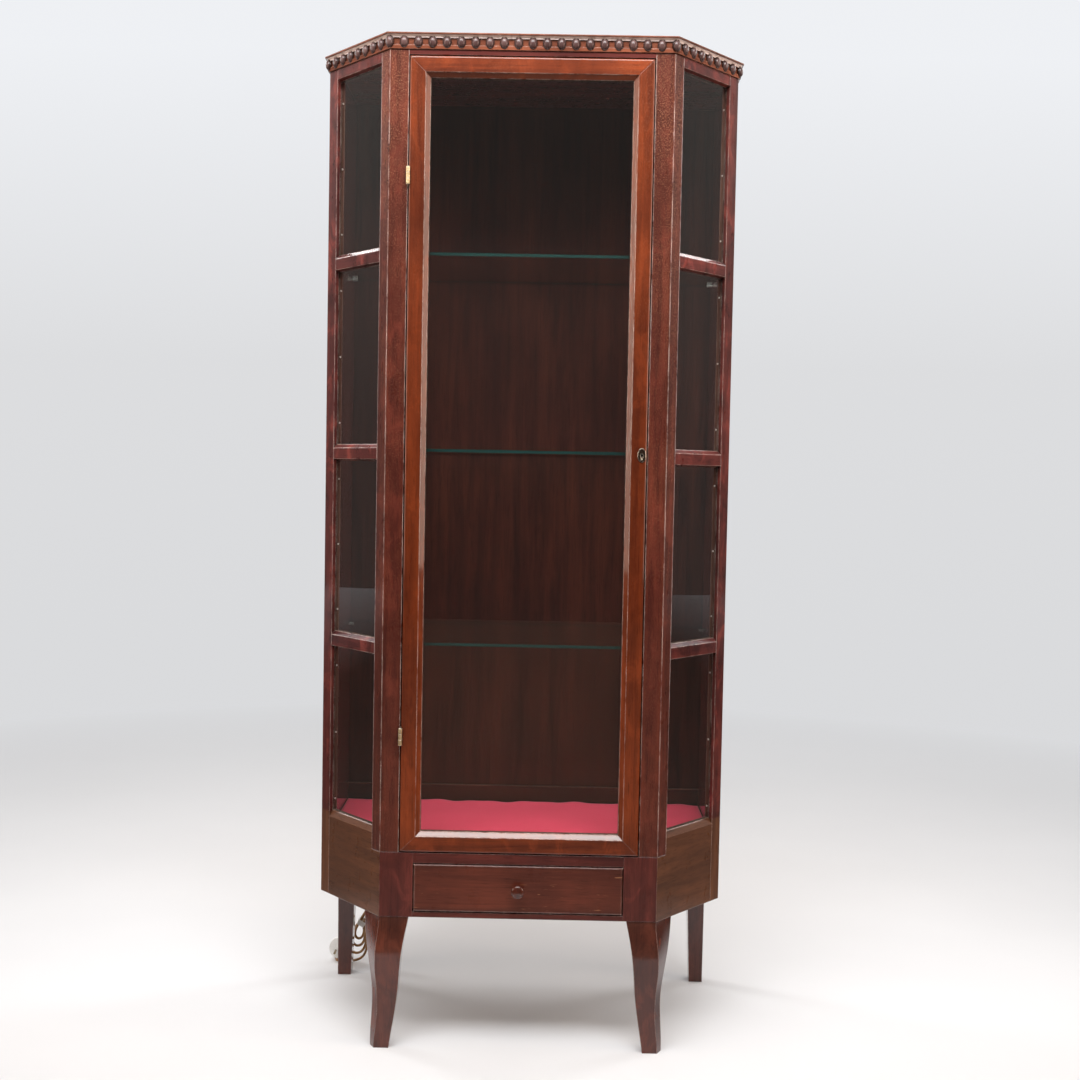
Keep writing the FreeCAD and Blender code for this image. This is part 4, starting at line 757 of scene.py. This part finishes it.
# Places and outward directions of the beads along the right half of the cornice's field
def bead_places():
    side_x = BODY_HALF_WIDTH + FIELD_REACH
    front_corner = Vector((FRONT_HALF_WIDTH + FIELD_REACH * (1.0 - CANT_X) / CANT_Y, -FIELD_REACH, 0.0))
    side_corner = Vector((side_x, (CANT_Y * (side_x - FRONT_HALF_WIDTH) - FIELD_REACH) / CANT_X, 0.0))
    back_end = Vector((side_x, BODY_DEPTH, 0.0))
    front_way = Vector((0.0, -1.0, 0.0))
    cant_way = Vector((CANT_Y, -CANT_X, 0.0))
    side_way = Vector((1.0, 0.0, 0.0))
    places = []
    for number in range(BEAD_FRONT_COUNT // 2):
        share = 2.0 * number / BEAD_FRONT_COUNT
        places.append((Vector((front_corner.x * share, -FIELD_REACH, 0.0)), front_way))
    places.append((front_corner, (front_way + cant_way).normalized()))
    for number in range(1, BEAD_CANT_COUNT):
        places.append((front_corner.lerp(side_corner, number / BEAD_CANT_COUNT), cant_way))
    places.append((side_corner, (cant_way + side_way).normalized()))
    for number in range(1, BEAD_SIDE_COUNT):
        places.append((side_corner.lerp(back_end, number / BEAD_SIDE_COUNT), side_way))
    return places


def make_cornice_beads(materials):
    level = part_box("cornice_front")[1].z - BEAD_DROP
    rims = []
    beads = []
    up = Vector((0.0, 0.0, BEAD_HALF_HEIGHT))
    for place, way in bead_places():
        for side in (1.0, -1.0):
            if side < 0.0 and place.x == 0.0:
                continue
            centre = Vector((side * place.x, place.y - CENTRE_Y, level))
            out = Vector((side * way.x, way.y, 0.0)) * BEAD_RISE
            across = up.cross(out).normalized() * BEAD_HALF_WIDTH
            rims.append(boss(centre, across, up, out, RIM_RING_SHARES, BEAD_SIDES))
            beads.append(boss(centre, across, up, out, BEAD_RING_SHARES, BEAD_SIDES))
    points, faces = join_bosses(rims)
    add_piece("cornice_bead_rims", points, faces, materials["rim"], "cabinet")
    points, faces = join_bosses(beads)
    add_piece("cornice_beads", points, faces, materials["carved"], "cabinet")


# Levels of the pins in one bay after another, between the floor, the shelves and the top
def pin_levels():
    stops = [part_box("felt_mat")[1].z]
    for shelf in ("glass_shelf_lower", "glass_shelf_middle", "glass_shelf_upper"):
        stops.append(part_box(shelf)[0].z)
    stops.append(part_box("header_rail")[0].z)
    levels = []
    for low, high in zip(stops, stops[1:]):
        levels.extend(low + (high - low) * share for share in PIN_LEVEL_SHARES)
    return levels


def make_glazing_pins(materials):
    pins = []
    up = Vector((0.0, 0.0, PIN_RADIUS))
    for along, facing in ((CANT_LENGTH - REAR_STILE, -1.0), (FRONT_STILE, 1.0)):
        x = FRONT_HALF_WIDTH + along * CANT_X - STRIP_INSET * CANT_Y
        y = along * CANT_Y + STRIP_INSET * CANT_X - CENTRE_Y
        for side in (1.0, -1.0):
            out = Vector((side * CANT_X, CANT_Y, 0.0)) * facing * PIN_RISE
            across = up.cross(out).normalized() * PIN_RADIUS
            for level in pin_levels():
                centre = Vector((side * x, y, level))
                pins.append(boss(centre, across, up, out, PIN_RING_SHARES, PIN_SIDES))
    points, faces = join_bosses(pins)
    add_piece("glazing_pins", points, faces, materials["steel"], "cabinet")


# Rise of the felt at a place across and along it, and how far its back edge draws in
def felt_waves(across, share):
    loose = max(0.0, (share - (1.0 - FELT_LOOSE_SHARE)) / FELT_LOOSE_SHARE) ** 2
    wave = sum(part * math.sin(turn * across + start) for part, turn, start in FELT_WAVES)
    ripple = math.sin(RIPPLE_FIRST_TURNS[0] * across + RIPPLE_FIRST_TURNS[1] * share)
    ripple *= math.sin(RIPPLE_SECOND_TURNS[0] * across + RIPPLE_SECOND_TURNS[1] * share)
    lift = FELT_LIFT * loose * (FELT_LIFT_SHARE + FELT_LIFT_WAVE_SHARE * wave) + FELT_RIPPLE * (1.0 + ripple)
    back = FELT_WAVE * loose * (wave - FELT_WAVE_MOST) / FELT_WAVE_MOST
    return lift, back


# Points of the felt in rows from front to back, as wide as the plan
def felt_points(low, high):
    depth = high.y - low.y
    cant_share = (FELT_CANT_END - CENTRE_Y - low.y) / depth
    points = []
    for row in range(FELT_ROWS + 1):
        share = row / FELT_ROWS
        half = FELT_FRONT_HALF + (high.x - FELT_FRONT_HALF) * min(1.0, share / cant_share)
        for column in range(FELT_COLUMNS + 1):
            across = 2.0 * column / FELT_COLUMNS - 1.0
            lift, back = felt_waves(across, share)
            points.append((half * across, low.y + depth * share + back, low.z + FELT_THICK + lift))
    return points


# Felt cut to the plan, with a loose wavy back edge
def make_felt(materials):
    low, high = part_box("felt_mat")
    wide = FELT_COLUMNS + 1
    faces = []
    for row in range(FELT_ROWS):
        for column in range(FELT_COLUMNS):
            first = row * wide + column
            faces.append((first, first + 1, first + wide + 1, first + wide))
    piece = add_piece("felt_sheet", felt_points(low, high), faces, materials["felt"], "cabinet")
    thick = piece.modifiers.new("thickness", "SOLIDIFY")
    thick.thickness = FELT_THICK
    thick.offset = -1.0
    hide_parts("felt_mat")


# How much of the wall's painted glow shows: far off to the camera, and behind in glass and metal
def wall_share(g, path, depth, height):
    wall = g.span(height, 0.0, WALL_FADE)
    where = g.add("ShaderNodeTexCoord").outputs["Object"]
    distance = g.add("ShaderNodeVectorMath", {0: where}, operation="LENGTH").outputs["Value"]
    around = g.calc("MAXIMUM", wall, g.span(distance, *WALL_FAR))
    behind = g.calc("MAXIMUM", wall, g.span(depth, *WALL_FAR))
    mirrored = g.calc("MAXIMUM", path["Is Glossy Ray"], path["Is Transmission Ray"])
    seen = g.calc("MULTIPLY", path["Is Camera Ray"], around)
    return g.calc("MAXIMUM", g.calc("MULTIPLY", mirrored, behind), seen)


# Pale floor that curves up into a wall glowing in a painted gradient, the floor darker in front and at the
# sides where it lights the cabinet
def stage_material():
    g = Surface("pale_floor")
    path = g.add("ShaderNodeLightPath").outputs
    depth = g.along(1)
    height = g.along(2)
    floor = g.mix(g.span(g.noise(*FLOOR_NOISE), *FLOOR_LEVELS), *FLOOR_COLOURS)
    unseen = g.span(path["Is Camera Ray"], 0.0, 1.0, 1.0, 0.0)
    floor = g.mix(g.calc("MULTIPLY", g.span(depth, *FLOOR_AHEAD), unseen), floor, FLOOR_AHEAD_COLOUR)
    aside = g.span(g.calc("ABSOLUTE", g.along(0)), *FLOOR_ASIDE)
    floor = g.mix(g.calc("MULTIPLY", aside, path["Is Glossy Ray"]), floor, FLOOR_ASIDE_COLOUR)
    g.shade(Base_Color=floor, Roughness=0.75, Specular_IOR_Level=0.2)
    # Painted light: the wall glows in a gradient, lighter towards its top
    wall_glow_colour = g.ramp(g.span(height, 0.0, WALL_TOP), WALL_GLOW_COLOURS)
    glow = g.add("ShaderNodeEmission", {"Color": wall_glow_colour}).outputs[0]
    g.show(g.blend(wall_share(g, path, depth, height), g.shader.outputs[0], glow))
    return g.material


def make_stage():
    profile = [(STAGE_FRONT, 0.0)]
    for number in range(STAGE_STEPS + 1):
        angle = math.pi / 2.0 * number / STAGE_STEPS
        y = WALL_Y - WALL_BEND + WALL_BEND * math.sin(angle)
        z = WALL_BEND - WALL_BEND * math.cos(angle)
        profile.append((y, z))
    profile.append((WALL_Y, WALL_TOP))
    points = []
    for y, z in profile:
        points.append((-STAGE_HALF_WIDTH, y, z))
        points.append((STAGE_HALF_WIDTH, y, z))
    faces = [(2 * row, 2 * row + 1, 2 * row + 3, 2 * row + 2) for row in range(len(profile) - 1)]
    mesh = bpy.data.meshes.new("backdrop")
    mesh.from_pydata(points, [], faces)
    mesh.shade_smooth()
    mesh.materials.append(stage_material())
    backdrop = bpy.data.objects.new("backdrop", mesh)
    bpy.context.collection.objects.link(backdrop)


def make_lamps():
    for name, (place, aim, size, watts, spread, colour) in LAMPS.items():
        lamp = bpy.data.lights.new(name, "AREA")
        lamp.shape = "RECTANGLE"
        lamp.size = size[0]
        lamp.size_y = size[1]
        lamp.energy = watts
        lamp.color = colour
        lamp.spread = math.radians(spread)
        holder = bpy.data.objects.new(name, lamp)
        holder.location = place
        holder.visible_camera = False
        holder.visible_transmission = False
        holder.rotation_euler = (Vector(aim) - Vector(place)).to_track_quat("-Z", "Y").to_euler()
        bpy.context.collection.objects.link(holder)


# World light: dim in front, stronger behind and above, with the wall's painted glow where it is seen directly
def make_world():
    world = bpy.data.worlds.new("studio")
    world.use_nodes = True
    g = Graph(world.node_tree)
    output = g.add("ShaderNodeOutputWorld")
    height = g.along(2, "Generated")
    back = g.span(g.along(1, "Generated"), *WORLD_BACK_TURNS, *WORLD_BACK_STRENGTHS)
    up = g.span(height, *WORLD_UP_TURNS, *WORLD_UP_STRENGTHS)
    light = g.add("ShaderNodeBackground", {"Color": WORLD_COLOUR, "Strength": g.calc("ADD", back, up)})
    sky = g.ramp(g.span(height, 0.0, SKY_CLIMB), WALL_GLOW_COLOURS)
    pale = g.add("ShaderNodeBackground", {"Color": sky})
    path = g.add("ShaderNodeLightPath").outputs
    bounces = g.calc("ADD", path["Diffuse Depth"], path["Glossy Depth"])
    first = g.calc("LESS_THAN", bounces, FIRST_BOUNCE)
    through = g.calc("MULTIPLY", first, path["Is Transmission Ray"])
    seen = g.calc("MAXIMUM", path["Is Camera Ray"], through)
    g.put(output.inputs["Surface"], g.blend(seen, light.outputs[0], pale.outputs[0]))
    bpy.context.scene.world = world


bpy.context.scene.view_settings.view_transform = "Standard"
made = make_woods() | make_other_materials()
paint_nodes(made)
make_camera()
make_flex(made)
make_cornice_beads(made)
make_glazing_pins(made)
make_felt(made)
make_stage()
make_lamps()
make_world()
